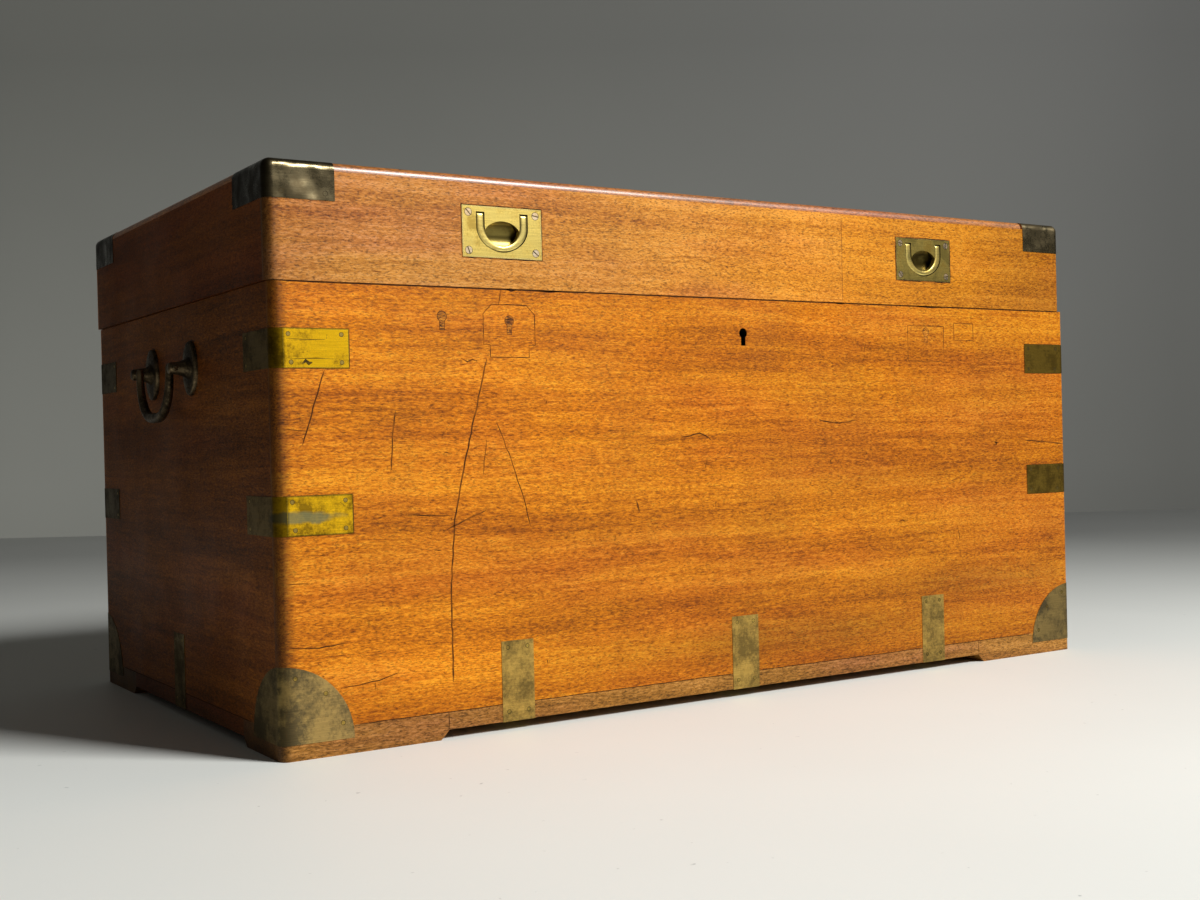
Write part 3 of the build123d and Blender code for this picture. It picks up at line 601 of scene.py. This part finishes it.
def stroke(shape, points, width, where, rise=line_rise, closed=False):
    """Add a thin strip along points of a face, an even ring where closed, else narrower at both ends."""
    points = [Vector(point) for point in points]
    count = len(points)
    rows = []
    for n, point in enumerate(points):
        before = points[n - 1] if n or closed else point
        after = points[(n + 1) % count] if n + 1 < count or closed else point
        side = (after - before).normalized().orthogonal() * width / 2
        if not closed and n in (0, count - 1):
            side *= 0.3
        corners = [(point + side, -rise), (point + side, rise), (point - side, rise), (point - side, -rise)]
        rows.append([shape.verts.new(where @ Vector((p.x, p.y, h))) for p, h in corners])
    skin(shape, rows, closed)


def wandering(points, step, drift, seed):
    """More points along a line, each a little off it, the same on every run."""
    draw = random.Random(seed)
    result = [Vector(points[0])]
    for start, end in zip(points, points[1:]):
        start, end = Vector(start), Vector(end)
        count = max(1, round((end - start).length / step))
        for n in range(1, count + 1):
            off = Vector((draw.uniform(-drift, drift), draw.uniform(-drift, drift)))
            result.append(start.lerp(end, n / count) + (off if n < count else Vector((0, 0))))
    return result


def metres(points):
    """Points given in millimetres, turned to metres."""
    return [(u * mm, v * mm) for u, v in points]


def box_outline(width, height):
    """An oblong that stands on the origin."""
    return [(-width / 2, 0), (width / 2, 0), (width / 2, height), (-width / 2, height)]


left_patch = [
    (-18.8, 0), (18.8, 0), (18.8, 10.4), (24.9, 10.4), (24.9, 36.3), (16.8, 44.4),
    (-16.8, 44.4), (-24.9, 36.3), (-24.9, 10.4), (-18.8, 10.4),
]
patches = [  # x and z of the lower edge's middle, and the outline about it
    (-245.2, 314.7, left_patch),
    (244.0, 315.9, box_outline(51.0, 36.1)),
    (298.9, 338.2, box_outline(28.4, 17.3)),
]
joints = bmesh.new()
for patch_x, patch_z, outline in patches:
    outline = metres(outline + outline[:1])
    outline = wandering(outline, 5 * mm, 0.12 * mm, patch_x)[:-1]
    stroke(joints, outline, joint_line, on_front(patch_x * mm, patch_z * mm), closed=True)
placed("patch_joints", joints, grime("grime_in_joints", "#40200a", "#8a4e0d"), "front_wood", "trunk")

# Plugs: darker wood glued into two old keyholes and one small old hole, and cut flush with the front.
# Each has a dark rim where dirt has gathered round it.

plug_places = [(-245.2, 345.6), (244.0, 345.9), (-308.5, 347.9)]
plug_depth = 0.2 * mm


def prism(shape, outline, where, low, high):
    """Add a closed prism: an outline in a face's frame, between two heights over the face."""
    floor = [shape.verts.new(where @ Vector((u, v, low))) for u, v in outline]
    roof = [shape.verts.new(where @ Vector((u, v, high))) for u, v in outline]
    skin(shape, [floor, roof])


def keyhole_outline(radius, slot, drop, arc_steps=12):
    """A keyhole about its round end's middle."""
    start = math.asin(slot / 2 / radius)
    points = [(slot / 2, -drop), (-slot / 2, -drop)]
    for n in range(arc_steps + 1):
        angle = -math.pi / 2 - start - n * (2 * math.pi - 2 * start) / arc_steps
        points.append((radius * math.cos(angle), radius * math.sin(angle)))
    return points


plug_wood = camphor("camphor_plugs", "#dd9530", "#b86f14", "#6e3c08", start=8.4, contrast=1.6)
plug_rims = bmesh.new()
plugs = bmesh.new()
for plug_x, plug_z in metres(plug_places):
    where = on_front(plug_x, plug_z)
    prism(plug_rims, keyhole_outline(4.7 * mm, 5.0 * mm, 11.6 * mm), where, -plug_depth, 0.02 * mm)
    prism(plugs, keyhole_outline(4.2 * mm, 4.0 * mm, 11.1 * mm), where, -plug_depth, 0.04 * mm)
placed("plug_rims", plug_rims, grime("grime_round_plugs", "#3a1c08", "#7c4410"), "front_wood", "trunk")
placed("keyhole_plugs", plugs, plug_wood, "patch_wood", "trunk")

# Cracks and scratches: the front board has split as it dried, and has been scratched and nicked in use.
# Each mark is a thin strip, narrower at both ends. Fainter lines of the wood's figure bend round a knot.

dark_cracks = [  # width, and points from end to end
    (1.2, [(-252.9, 371.5), (-255.2, 358.5)]),
    (1.4, [
        (-267.4, 313.2), (-271.2, 299.6), (-285.9, 245.6), (-301.6, 179.9),
        (-306.0, 122.5), (-306.2, 81.3), (-306.3, 46.6),
    ]),
    (1.2, [(-309.1, 172.1), (-287.6, 180.9), (-271.5, 186.8)]),
    (1.2, [(-412.1, 303.0), (-420.3, 279.5), (-431.8, 244.6)]),
    (1.2, [(-352.3, 270.3), (-355.6, 247.0), (-357.1, 222.8)]),
    (0.9, [(-259.9, 260.2), (-246.4, 227.9), (-234.7, 193.6), (-229.0, 171.0)]),
    (0.8, [(-269.8, 245.3), (-273.5, 216.1)]),
    (1.3, [(97.5, 257.4), (123.2, 254.1), (147.2, 256.8)]),
    (1.3, [(-67.4, 244.0), (-59.5, 244.7), (-48.0, 247.2), (-40.1, 244.4), (-34.4, 240.5)]),
    (1.3, [(388.5, 232.1), (449.8, 227.5)]),
    (0.8, [(-447.7, 257.3), (-428.3, 255.5)]),
    (1.0, [(-445.9, 87.5), (-422.2, 85.8), (-399.6, 87.5)]),
    (0.9, [(-403.0, 52.5), (-372.2, 55.1), (-354.6, 59.6)]),
    (0.8, [(-448.0, 137.2), (-429.0, 136.4)]),
    (2.6, [(303.4, 206.8), (306.4, 206.0), (308.6, 205.6)]),
    (2.2, [(342.6, 230.6), (344.6, 229.8), (347.0, 230.2)]),
    (1.4, [(344.4, 235.0), (344.2, 230.6), (345.4, 227.4)]),
    (2.4, [(201.0, 153.8), (205.0, 154.6), (209.4, 153.4)]),
    (0.9, [(283.0, 146.5), (285.4, 138.0), (286.8, 129.0)]),
    (2.4, [(-119.5, 187.6), (-118.2, 183.0), (-116.8, 178.6)]),
    (1.6, [(-250.2, 47.6), (-251.6, 43.0), (-253.4, 38.4)]),
    (1.2, [(-343.4, 186.2), (-325.0, 184.6), (-306.0, 184.0)]),
    (1.3, [(-291.6, 313.6), (-286.0, 310.6), (-281.0, 312.6), (-276.4, 311.4)]),
    (1.6, [(175.8, 249.6), (179.0, 248.6)]),
    (1.5, [(251.2, 238.4), (254.4, 237.4)]),
]
figure_lines = [  # the same
    (0.6, [(-125.3, 220.1), (-112.0, 228.0), (-98.0, 238.0), (-82.0, 242.0), (-66.0, 244.0)]),
    (0.6, [
        (-125.3, 220.1), (-108.0, 213.0), (-84.0, 208.0), (-52.0, 207.0), (-20.0, 209.0), (20.0, 208.0),
    ]),
    (0.6, [(-200.0, 241.0), (-130.0, 246.0), (-106.0, 254.0), (-74.0, 266.0)]),
    (0.5, [(-34.0, 240.0), (-8.0, 232.0), (14.0, 226.0), (60.0, 220.0)]),
]
front_nicks = 46
whole_front = on_front(0, 0)
cracks = bmesh.new()
for seed, (width, points) in enumerate(dark_cracks):
    stroke(cracks, wandering(metres(points), 6 * mm, 0.5 * mm, seed), width * mm, whole_front)
nicks = random.Random(11)
for n in range(front_nicks):
    nick_x = nicks.uniform(-0.43, 0.43)
    nick_z = nicks.uniform(0.04, 0.36)
    reach = nicks.uniform(1.0, 4.5) * mm
    tilt = nicks.choice((0.0, 0.1, -0.15, 1.3, 1.6))
    off = Vector((math.cos(tilt), math.sin(tilt))) * reach
    middle = Vector((nick_x, nick_z))
    stroke(cracks, [middle - off, middle, middle + off * 0.6], nicks.uniform(0.5, 1.1) * mm, whole_front)
crack_grime = grime("grime_in_cracks", "#482507", "#74400b")
placed("cracks_and_scratches", cracks, crack_grime, "front_wood", "trunk")

figure = bmesh.new()
for seed, (width, points) in enumerate(figure_lines):
    stroke(figure, wandering(metres(points), 7 * mm, 0.4 * mm, 40 + seed), width * mm, whole_front)
figure_brown = grime("dark_figure_lines", "#9c5c0a", "#bb7410")
placed("figure_round_the_knot", figure, figure_brown, "front_wood", "trunk")

# Seams: glued joints between carcass, plinth rails and feet, and the open one under the lid. Dirt fills
# them, and the open seam under the lid is also dark as painted shade, a little wider at four worn places.

rail_low, rail_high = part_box("front_plinth_rail")
seam_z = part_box("front_board")[1].z - 0.4 * mm
gap_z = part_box("front_board")[1].z - 0.7 * mm
seam_gaps = [(-247, -238, 2.2), (-218, -194, 1.7), (232, 268, 1.9), (120, 134, 1.5)]  # from, to and width
end_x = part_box("right_end_board")[1].x


def on_end(side, y, z, x=end_x):
    """A frame on the left end, side -1, or on the right end, side 1."""
    return facing(side * x, y, z, (side, 0, 0), (0, side, 0))


seam_lines = bmesh.new()
rail_joint = wandering([(-0.39, rail_high.z), (0.39, rail_high.z)], 12 * mm, 0.15 * mm, 9)
stroke(seam_lines, rail_joint, 0.7 * mm, whole_front)
for side in (-1, 1):
    foot_joint = [(side * rail_high.x, rail_low.z), (side * rail_high.x, rail_high.z)]
    stroke(seam_lines, wandering(foot_joint, 6 * mm, 0.15 * mm, 12), 0.9 * mm, whole_front)
    end_joint = wandering([(-0.19, rail_high.z), (0.19, rail_high.z)], 12 * mm, 0.15 * mm, 10)
    stroke(seam_lines, end_joint, 0.8 * mm, on_end(side, 0, 0))
lid_seam = wandering([(-0.448, seam_z), (0.448, seam_z)], 12 * mm, 0.12 * mm, 8)
stroke(seam_lines, lid_seam, 0.8 * mm, whole_front)
for gap_start, gap_end, gap_width in seam_gaps:
    gap = [(gap_start * mm, seam_z), ((gap_start + gap_end) / 2 * mm, gap_z), (gap_end * mm, seam_z)]
    stroke(seam_lines, gap, gap_width * mm, whole_front)
placed("dirt_and_shade_along_the_seams", seam_lines, grime("dirt_and_painted_shade_in_the_seams", "#3a1d08"), "front_wood", "trunk")

# Keyhole: cut through the front board to the lock behind it, with no escutcheon. Black painted shade
# lines its wall, as a thin tube inside the hole.

keyhole_x = 5.8 * mm
keyhole_z = 340 * mm
liner_middle = 9.6 * mm
liner_half_depth = 9.0 * mm
keyhole_liner = bmesh.new()
liner_place = on_front(keyhole_x, keyhole_z, front_y + liner_middle)
liner_outline = metres(keyhole_outline(4.6, 5.1, 11.6))
stroke(keyhole_liner, liner_outline, 0.2 * mm, liner_place, liner_half_depth, closed=True)
placed("painted_shade_in_keyhole", keyhole_liner, grime("black_painted_shade", "#0d0805"), "front_wood", "trunk")

# Marks on the corner straps: dirt in the pockets that the brass is let into shows as a dark line round
# each strap on the front. The two bright straps on the left have dull edges, scratches and one deep scar.

strap_middles = (320 * mm, 189.5 * mm)
strap_half_width = 15.5 * mm
strap_end = 391 * mm
strap_bend = 448 * mm
scar_rise = 0.01 * mm
scars = [  # width, and points from end to end
    (0.8, [(-443, 327.4), (-428, 326.6), (-411, 326.9)]),
    (3.0, [(-430.9, 307.6), (-427.6, 310.2), (-424.9, 308.0), (-422.2, 308.9)]),
    (1.2, [(-426.6, 317.6), (-425.2, 317.4)]),
    (1.0, [(-409.4, 331.0), (-409.8, 327.5)]),
    (0.7, [(-440, 311.5), (-418, 312.3), (-402, 311.6)]),
    (1.0, [(-437.4, 199.5), (-437.8, 196.2)]),
    (0.9, [(-402, 199.0), (-398, 196.0)]),
]


def rim(shape, left, right, middle, half, where, width, out=0.25 * mm):
    """Add a thin line round an oblong of the face, a little outside it, or inside it where out is negative.

    The oblong runs from left to right, and half its height below and above its middle.
    """
    low, high = middle - half - out, middle + half + out
    corners = [(left - out, low), (right + out, low), (right + out, high), (left - out, high)]
    points = wandering([*corners, corners[0]], 9 * mm, 0.08 * mm, left)[:-1]
    stroke(shape, points, width, where, scar_rise if out < 0 else line_rise, closed=True)


strap_face = on_front(0, 0, strap_y)
round_brass = bmesh.new()
strap_edges = bmesh.new()
strap_scars = bmesh.new()
for side in (-1, 1):
    left, right = sorted((side * strap_end, side * strap_bend))
    for strap_z in strap_middles:
        rim(round_brass, left, right, strap_z, strap_half_width, whole_front, 0.5 * mm)
for strap_z in strap_middles:
    rim(strap_edges, -446 * mm, -strap_end, strap_z, strap_half_width, strap_face, 0.55 * mm, -0.45 * mm)
for width, points in scars:
    stroke(strap_scars, metres(points), width * mm, strap_face, scar_rise)
edge_brass = brass("brass_strap_edges", "#8f7a2a", "#4f4012", 0.45, rough=0.4)
placed("strap_edges", strap_edges, edge_brass, "strap_brass", "trunk")
placed("scars_in_straps", strap_scars, grime("dirt_in_scars", "#3a2c08", "#7d6212"), "strap_brass", "trunk")
placed("dirt_round_straps", round_brass, grime("dirt_round_brass", "#4a2a0c"), "front_wood", "trunk")

# Marks on the lid: the glued joint between its two front planks, and nicks along the grain from use, all
# filled with brown wax and dirt.

lid_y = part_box("lid_front")[0].y
lid_face = on_front(0, 0, lid_y)
lid_nicks = 14
lid_marks = bmesh.new()
planks_meet = wandering([(plank_joint, 373.5 * mm), (plank_joint, 459 * mm)], 8 * mm, 0.2 * mm, 3)
stroke(lid_marks, planks_meet, 0.45 * mm, lid_face)
for n in range(lid_nicks):
    nick_x = nicks.uniform(-0.43, 0.43)
    nick_z = nicks.uniform(0.38, 0.45)
    middle = Vector((nick_x, nick_z))
    reach = Vector((nicks.uniform(1.0, 5.0) * mm, nicks.uniform(-0.4, 0.4) * mm))
    stroke(lid_marks, [middle - reach, middle, middle + reach], nicks.uniform(0.4, 0.8) * mm, lid_face)
placed("lid_joint_and_nicks", lid_marks, grime("grime_in_lid", "#5d2f12"), "lid_wood", "lid")

# Flush handles: a bail of drawn brass bar, rounded over its edges, lies in the plate's channel and turns
# on two trunnions. Black painted shade lines the channel, the plate's own edge is rubbed bright, and dirt
# shows in the joint of the wood round it.

flush_places = (-249.8 * mm, 242.6 * mm)
flush_z = 419.5 * mm
bail_half = 24.5 * mm
bail_leg = 7.3 * mm
bail_depth = 5.0 * mm
bow_height = 20.3 * mm
bow_middle = 4.4 * mm
bow_grip = 4.6 * mm
knuckle_z = 13.8 * mm
bail_rounding = [(0.0, -5.0), (0.0, -1.0), (0.05, -0.4), (0.15, -0.08), (0.35, 0.0)]  # share of width, depth
trunnion_radius = 1.3 * mm
trunnion_length = 3.8 * mm
bar_sides = 20
bow_steps = 28
plate_half_width = 38.1 * mm
plate_half_height = 21.5 * mm
channel_gap = 0.32 * mm
channel_end = 2.5 * mm
channel_middle = 2.7 * mm
channel_half_depth = 2.6 * mm


def tube(shape, places, radii, flat):
    """Add a closed round bar through places that lie in one plane, whose normal is given."""
    rows = []
    for n, (place, radius) in enumerate(zip(places, radii)):
        ahead = (places[min(n + 1, len(places) - 1)] - places[max(n - 1, 0)]).normalized()
        side = ahead.cross(flat)
        angles = [2 * math.pi * k / bar_sides for k in range(bar_sides)]
        around = [flat * math.cos(angle) + side * math.sin(angle) for angle in angles]
        rows.append([shape.verts.new(place + out * radius) for out in around])
    skin(shape, rows)


def smooth(piece, angle=40):
    """Shade a piece smooth, but for its sharp edges."""
    piece.data.polygons.foreach_set("use_smooth", [True] * len(piece.data.polygons))
    piece.data.set_sharp_from_angle(angle=math.radians(angle))


def bow(grow=0.0):
    """The outside and inside edges of the bail's oval bow, from its left leg to its right one."""
    inside = bail_half - bail_leg
    inside_middle = bow_middle - bow_height + bow_grip + inside
    for n in range(bow_steps + 1):
        angle = math.pi * (1 + n / bow_steps)
        c, s = math.cos(angle), math.sin(angle)
        outer = ((bail_half + grow) * c, bow_middle + (bow_height + grow) * s)
        yield outer, (inside * c, inside_middle + inside * s)


def flush_bail(x):
    """The bail of one flush handle: two legs with round knuckles, an oval bow and the trunnions."""
    shape = bmesh.new()
    places = []
    knuckle = bail_depth / 2
    for n in range(5, 0, -1):
        angle = math.radians(90 * n / 5 - 4)
        places.append((knuckle_z + knuckle * math.sin(angle), math.cos(angle)))
    places += [(knuckle_z, 1.0), (9 * mm, 1.0)]
    inner = bail_half - bail_leg
    stations = [((-bail_half, z), (-inner, z), thin) for z, thin in places]
    stations += [(outer, inside, 1.0) for outer, inside in bow()]
    stations += [((bail_half, z), (inner, z), thin) for z, thin in reversed(places)]
    section = bail_rounding + [(1 - share, depth) for share, depth in reversed(bail_rounding)]
    where = on_front(x, flush_z, flush_y)
    rows = []
    for outer, inside, thin in stations:
        outer, inside = Vector(outer), Vector(inside)
        row = []
        for share, depth in section:
            flat = outer.lerp(inside, share)
            row.append(shape.verts.new(where @ Vector((*flat, (depth * mm + knuckle) * thin - knuckle))))
        rows.append(row)
    skin(shape, rows)
    for side in (-1, 1):
        reaches = (bail_half - 1 * mm, bail_half + trunnion_length)
        stops = [where @ Vector((side * reach, knuckle_z, -knuckle)) for reach in reaches]
        tube(shape, stops, [trunnion_radius, trunnion_radius], Vector((0, 0, 1)))
    return shape


for x, body in zip(flush_places, ("left_flush_bail", "right_flush_bail")):
    bail = placed(body.replace("flush", "drawn"), flush_bail(x), bail_brass, "flush_brass", body, body)
    smooth(bail, 50)

inner = bail_half - bail_leg - channel_gap
outer = bail_half + channel_gap
top = knuckle_z + bail_depth / 2 + channel_gap
channel = [(-inner, channel_end), (-inner, top), (-outer, top)]
channel += [outside for outside, inside in bow(channel_gap)]
channel += [(outer, top), (inner, top), (inner, channel_end)]
channel_shade = bmesh.new()
worn_edges = bmesh.new()
lid_dirt = bmesh.new()
for x in flush_places:
    where = on_front(x, flush_z, flush_y + channel_middle)
    stroke(channel_shade, channel, 0.14 * mm, where, channel_half_depth)
    plate = (x - plate_half_width, x + plate_half_width, flush_z, plate_half_height)
    rim(worn_edges, *plate, on_front(0, 0, flush_y), 0.7 * mm, -0.5 * mm)
    rim(lid_dirt, *plate, lid_face, 1.2 * mm, 0.45 * mm)
rubbed_brass = brass("brass_rubbed_edges", "#f2dc8e", "#b89b52", 0.2, rough=0.2)
plate_grime = grime("dirt_in_lid_joints", "#2c1508", "#8f5218")
# Painted shade: a black strip in the gap between bail and plate.
placed("painted_shade_in_channels", channel_shade, grime("black_painted_shade_in_brass", "#120d07"), "flush_brass", "lid")
placed("rubbed_plate_edges", worn_edges, rubbed_brass, "flush_brass", "lid")
placed("dirt_round_plates", lid_dirt, plate_grime, "lid_wood", "lid")

# Screws and pins: slotted brass screws in the flush plates, and plain brass pins, filed flush, in the
# straps, corner plates and caps. Each sits in a dark ring of painted shade round its head, which also
# shows in the screws' slots.

head_ring_shade = grime("painted_shade_round_heads", "#241b0b", "#463717")
screw_brass = brass("brass_screws", "#f8e0bb", "#bd9e70", 0.28, rough=0.25)
# Painted shade: the pins are darker towards the right.
pin_brass = brass("brass_pins", "#b3974a", "#746130", 0.4, rough=0.35, fades=[("X", 0.1, 0.3, 0.4)])
ring_rise = 0.006 * mm
head_rise = 0.012 * mm
head_depth = 0.3 * mm
ring_width = 0.4 * mm
screw_across = 32.2 * mm
screw_up = 15.9 * mm
strap_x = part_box("front_right_corner_straps")[1].x
strap_pins = [(14, 11), (58, 11), (58, -11), (16, -11)]  # inward from the trunk's end, and over the middle
corner_pin_reach = 53 * mm
corner_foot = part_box("base_corner_plates")[0].z
base_strap_middles = (-245 * mm, 0, 245 * mm)
base_pins = [(-9.5, 70), (9.5, 70), (-9.5, 16), (9.5, 16)]  # across from the strap's middle, and up


def ring(radius, first=0.0, last=360.0, count=24):
    """Points round an arc, or round a whole circle without the last point."""
    whole = last - first >= 360
    steps = count if whole else count // 2
    stops = range(steps) if whole else range(steps + 1)
    angles = [math.radians(first + (last - first) * n / steps) for n in stops]
    return [(radius * math.cos(angle), radius * math.sin(angle)) for angle in angles]


def slotted_head(heads, dirt, where, radius, slot, turn):
    """Add a countersunk head in two halves, one each side of its slot, over a dark disc of painted shade that
    shows in the slot and round the head.
    """
    where = where @ Matrix.Rotation(math.radians(turn), 4, "Z")
    prism(dirt, ring(radius + ring_width), where, -head_depth, ring_rise)
    edge = math.degrees(math.asin(slot / 2 / radius))
    prism(heads, ring(radius, edge, 180 - edge), where, -head_depth, head_rise)
    prism(heads, ring(radius, 180 + edge, 360 - edge), where, -head_depth, head_rise)


def pin_head(heads, dirt, where, radius):
    """Add a plain round pin over a dark disc of painted shade that shows round its head."""
    prism(dirt, ring(radius + ring_width), where, -head_depth, ring_rise)
    prism(heads, ring(radius), where, -head_depth, head_rise)


screw_heads = bmesh.new()
screw_rings = bmesh.new()
turns = random.Random(5)
for x in flush_places:
    for side in (-1, 1):
        for rise in (-1, 1):
            where = on_front(x + side * screw_across, flush_z + rise * screw_up, flush_y)
            slotted_head(screw_heads, screw_rings, where, 3.1 * mm, 0.9 * mm, turns.uniform(0, 180))
placed("flush_plate_screws", screw_heads, screw_brass, "flush_brass", "lid")
placed("flush_plate_screw_rings", screw_rings, head_ring_shade, "flush_brass", "lid")

front_pins = []
for side in (-1, 1):
    for strap_z in strap_middles:
        for inward, rise in metres(strap_pins):
            front_pins.append((side * (strap_x - inward), strap_z + rise, 1.5 * mm))
    for angle in (math.radians(14), math.radians(45), math.radians(76)):
        inward, rise = corner_pin_reach * math.cos(angle), corner_pin_reach * math.sin(angle)
        front_pins.append((side * (strap_x - inward), corner_foot + rise, 1.6 * mm))
for strap_middle in base_strap_middles:
    for across, height in metres(base_pins):
        front_pins.append((strap_middle + across, height, 1.5 * mm))

pin_heads = bmesh.new()
pin_rings = bmesh.new()
for pin_x, pin_z, radius in front_pins:
    pin_head(pin_heads, pin_rings, on_front(pin_x, pin_z, strap_y), radius)
    pin_head(pin_heads, pin_rings, facing(pin_x, -strap_y, pin_z, (0, 1, 0), (-1, 0, 0)), radius)
for side in (-1, 1):
    end_pins = [(corner * 199, height) for corner in (-1, 1) for height in (331, 309, 200.5, 178.5)]
    for pin_y, pin_z in metres(end_pins + base_pins):
        pin_head(pin_heads, pin_rings, on_end(side, pin_y, pin_z, strap_x), 1.5 * mm)
placed("strap_pins", pin_heads, pin_brass, "strap_brass", "trunk")
placed("strap_pin_rings", pin_rings, head_ring_shade, "strap_brass", "trunk")

cap_low, cap_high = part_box("lid_caps")
cap_heads = bmesh.new()
cap_rings = bmesh.new()
for x, inward in ((cap_low.x, 1), (cap_high.x, -1)):
    for reach in (14 * mm, 50 * mm):
        for out, y in ((-1, cap_low.y), (1, cap_high.y)):
            where = facing(x + inward * reach, y, cap_high.z - 26 * mm, (0, out, 0), (-out, 0, 0))
            pin_head(cap_heads, cap_rings, where, 1.8 * mm)
placed("cap_pins", cap_heads, cap_brass, "corner_brass", "lid")
placed("cap_pin_rings", cap_rings, head_ring_shade, "corner_brass", "lid")

# End handles: cast bronze, nearly black in the hollows. Each bail is a round bar that swells towards its
# bottom like a horn, hung on pins between two turned posts on oval backplates, which are screwed to the
# wood.

pivot_x = 471.5 * mm
pivot_z = 314.9 * mm
post_y = 57.9 * mm
leg_y = 45.98 * mm
bend = 37 * mm
drop = 42 * mm
pin_end = 12.9 * mm
pin_radius = 2.5 * mm
bend_steps = 12
tip_radii = [2.0, 2.9, 3.3, 3.4]
swell = 1.2


def turned(shape, profile, where, oval=(1.0, 1.0)):
    """Add a turned shape: (height, radius) pairs from the foot up, made an oval where asked."""
    rows = []
    for height, radius in profile:
        around = [Vector((u * oval[0], v * oval[1], height)) for u, v in ring(radius, count=40)]
        rows.append([shape.verts.new(where @ corner) for corner in around])
    skin(shape, rows)


def horn_bail(side):
    """The bail of one end: bar, rounded tips and the two pins."""
    shape = bmesh.new()
    outline = [(leg_y, z) for z in (4.2 * mm, 3.6 * mm, 1.5 * mm, -2 * mm, bend - drop)]
    for n in range(1, bend_steps + 1):
        angle = math.radians(90 * n / bend_steps)
        outline.append((leg_y - bend + bend * math.cos(angle), bend - drop - bend * math.sin(angle)))
    outline.append((0, -drop))
    half = len(outline)
    outline += [(-y, z) for y, z in outline[-2::-1]]
    steps = half - len(tip_radii)
    radii = tip_radii + [tip_radii[-1] + swell * (n / (steps - 1)) ** 0.8 for n in range(steps)]
    radii += radii[-2::-1]
    places = [Vector((side * pivot_x, y, pivot_z + z)) for y, z in outline]
    tube(shape, places, [radius * mm for radius in radii], Vector((1, 0, 0)))
    for pin_side in (-1, 1):
        inner = Vector((side * pivot_x, pin_side * (leg_y - 1 * mm), pivot_z))
        reach = Vector((0, pin_side, 0))
        stops = [inner, inner + reach * (pin_end + 7 * mm), inner + reach * (pin_end + 8 * mm)]
        tube(shape, stops, [pin_radius, pin_radius, pin_radius * 0.7], Vector((1, 0, 0)))
    return shape


for side, name, body in ((-1, "left_horn_bail", "left_end_bail"), (1, "right_horn_bail", "right_end_bail")):
    smooth(placed(name, horn_bail(side), handle_bronze, "handle_bronze", body, body))

plate_half_oval = (17.0, 24.0)
plate_top = 3.6
plate_profile = [(0.0, 1.0), (2.4, 1.0), (3.2, 0.975), (plate_top, 0.93), (plate_top, 0.4)]
post_profile = [
    (3.0, 10.6), (4.2, 9.9), (6.0, 8.2), (8.5, 6.9), (11.5, 6.1),
    (14.5, 5.6), (18.5, 5.2), (20.4, 4.8), (21.3, 3.6), (21.5, 2.0),
]
backplates = bmesh.new()
plate_screws = bmesh.new()
plate_rings = bmesh.new()
for side in (-1, 1):
    for y in (-post_y, post_y):
        where = on_end(side, y, pivot_z)
        turned(backplates, metres(plate_profile), where, plate_half_oval)
        turned(backplates, metres(post_profile), where)
        for rise in (-17 * mm, 17 * mm):
            screw_place = where @ Matrix.Translation((0, rise, plate_top * mm))
            slotted_head(plate_screws, plate_rings, screw_place, 2.9 * mm, 0.8 * mm, turns.uniform(0, 180))
smooth(placed("oval_backplates", backplates, handle_bronze, "handle_bronze", "trunk", "end_handle_plates"))
placed("backplate_screws", plate_screws, handle_bronze, "handle_bronze", "trunk")
placed("backplate_screw_rings", plate_rings, head_ring_shade, "handle_bronze", "trunk")
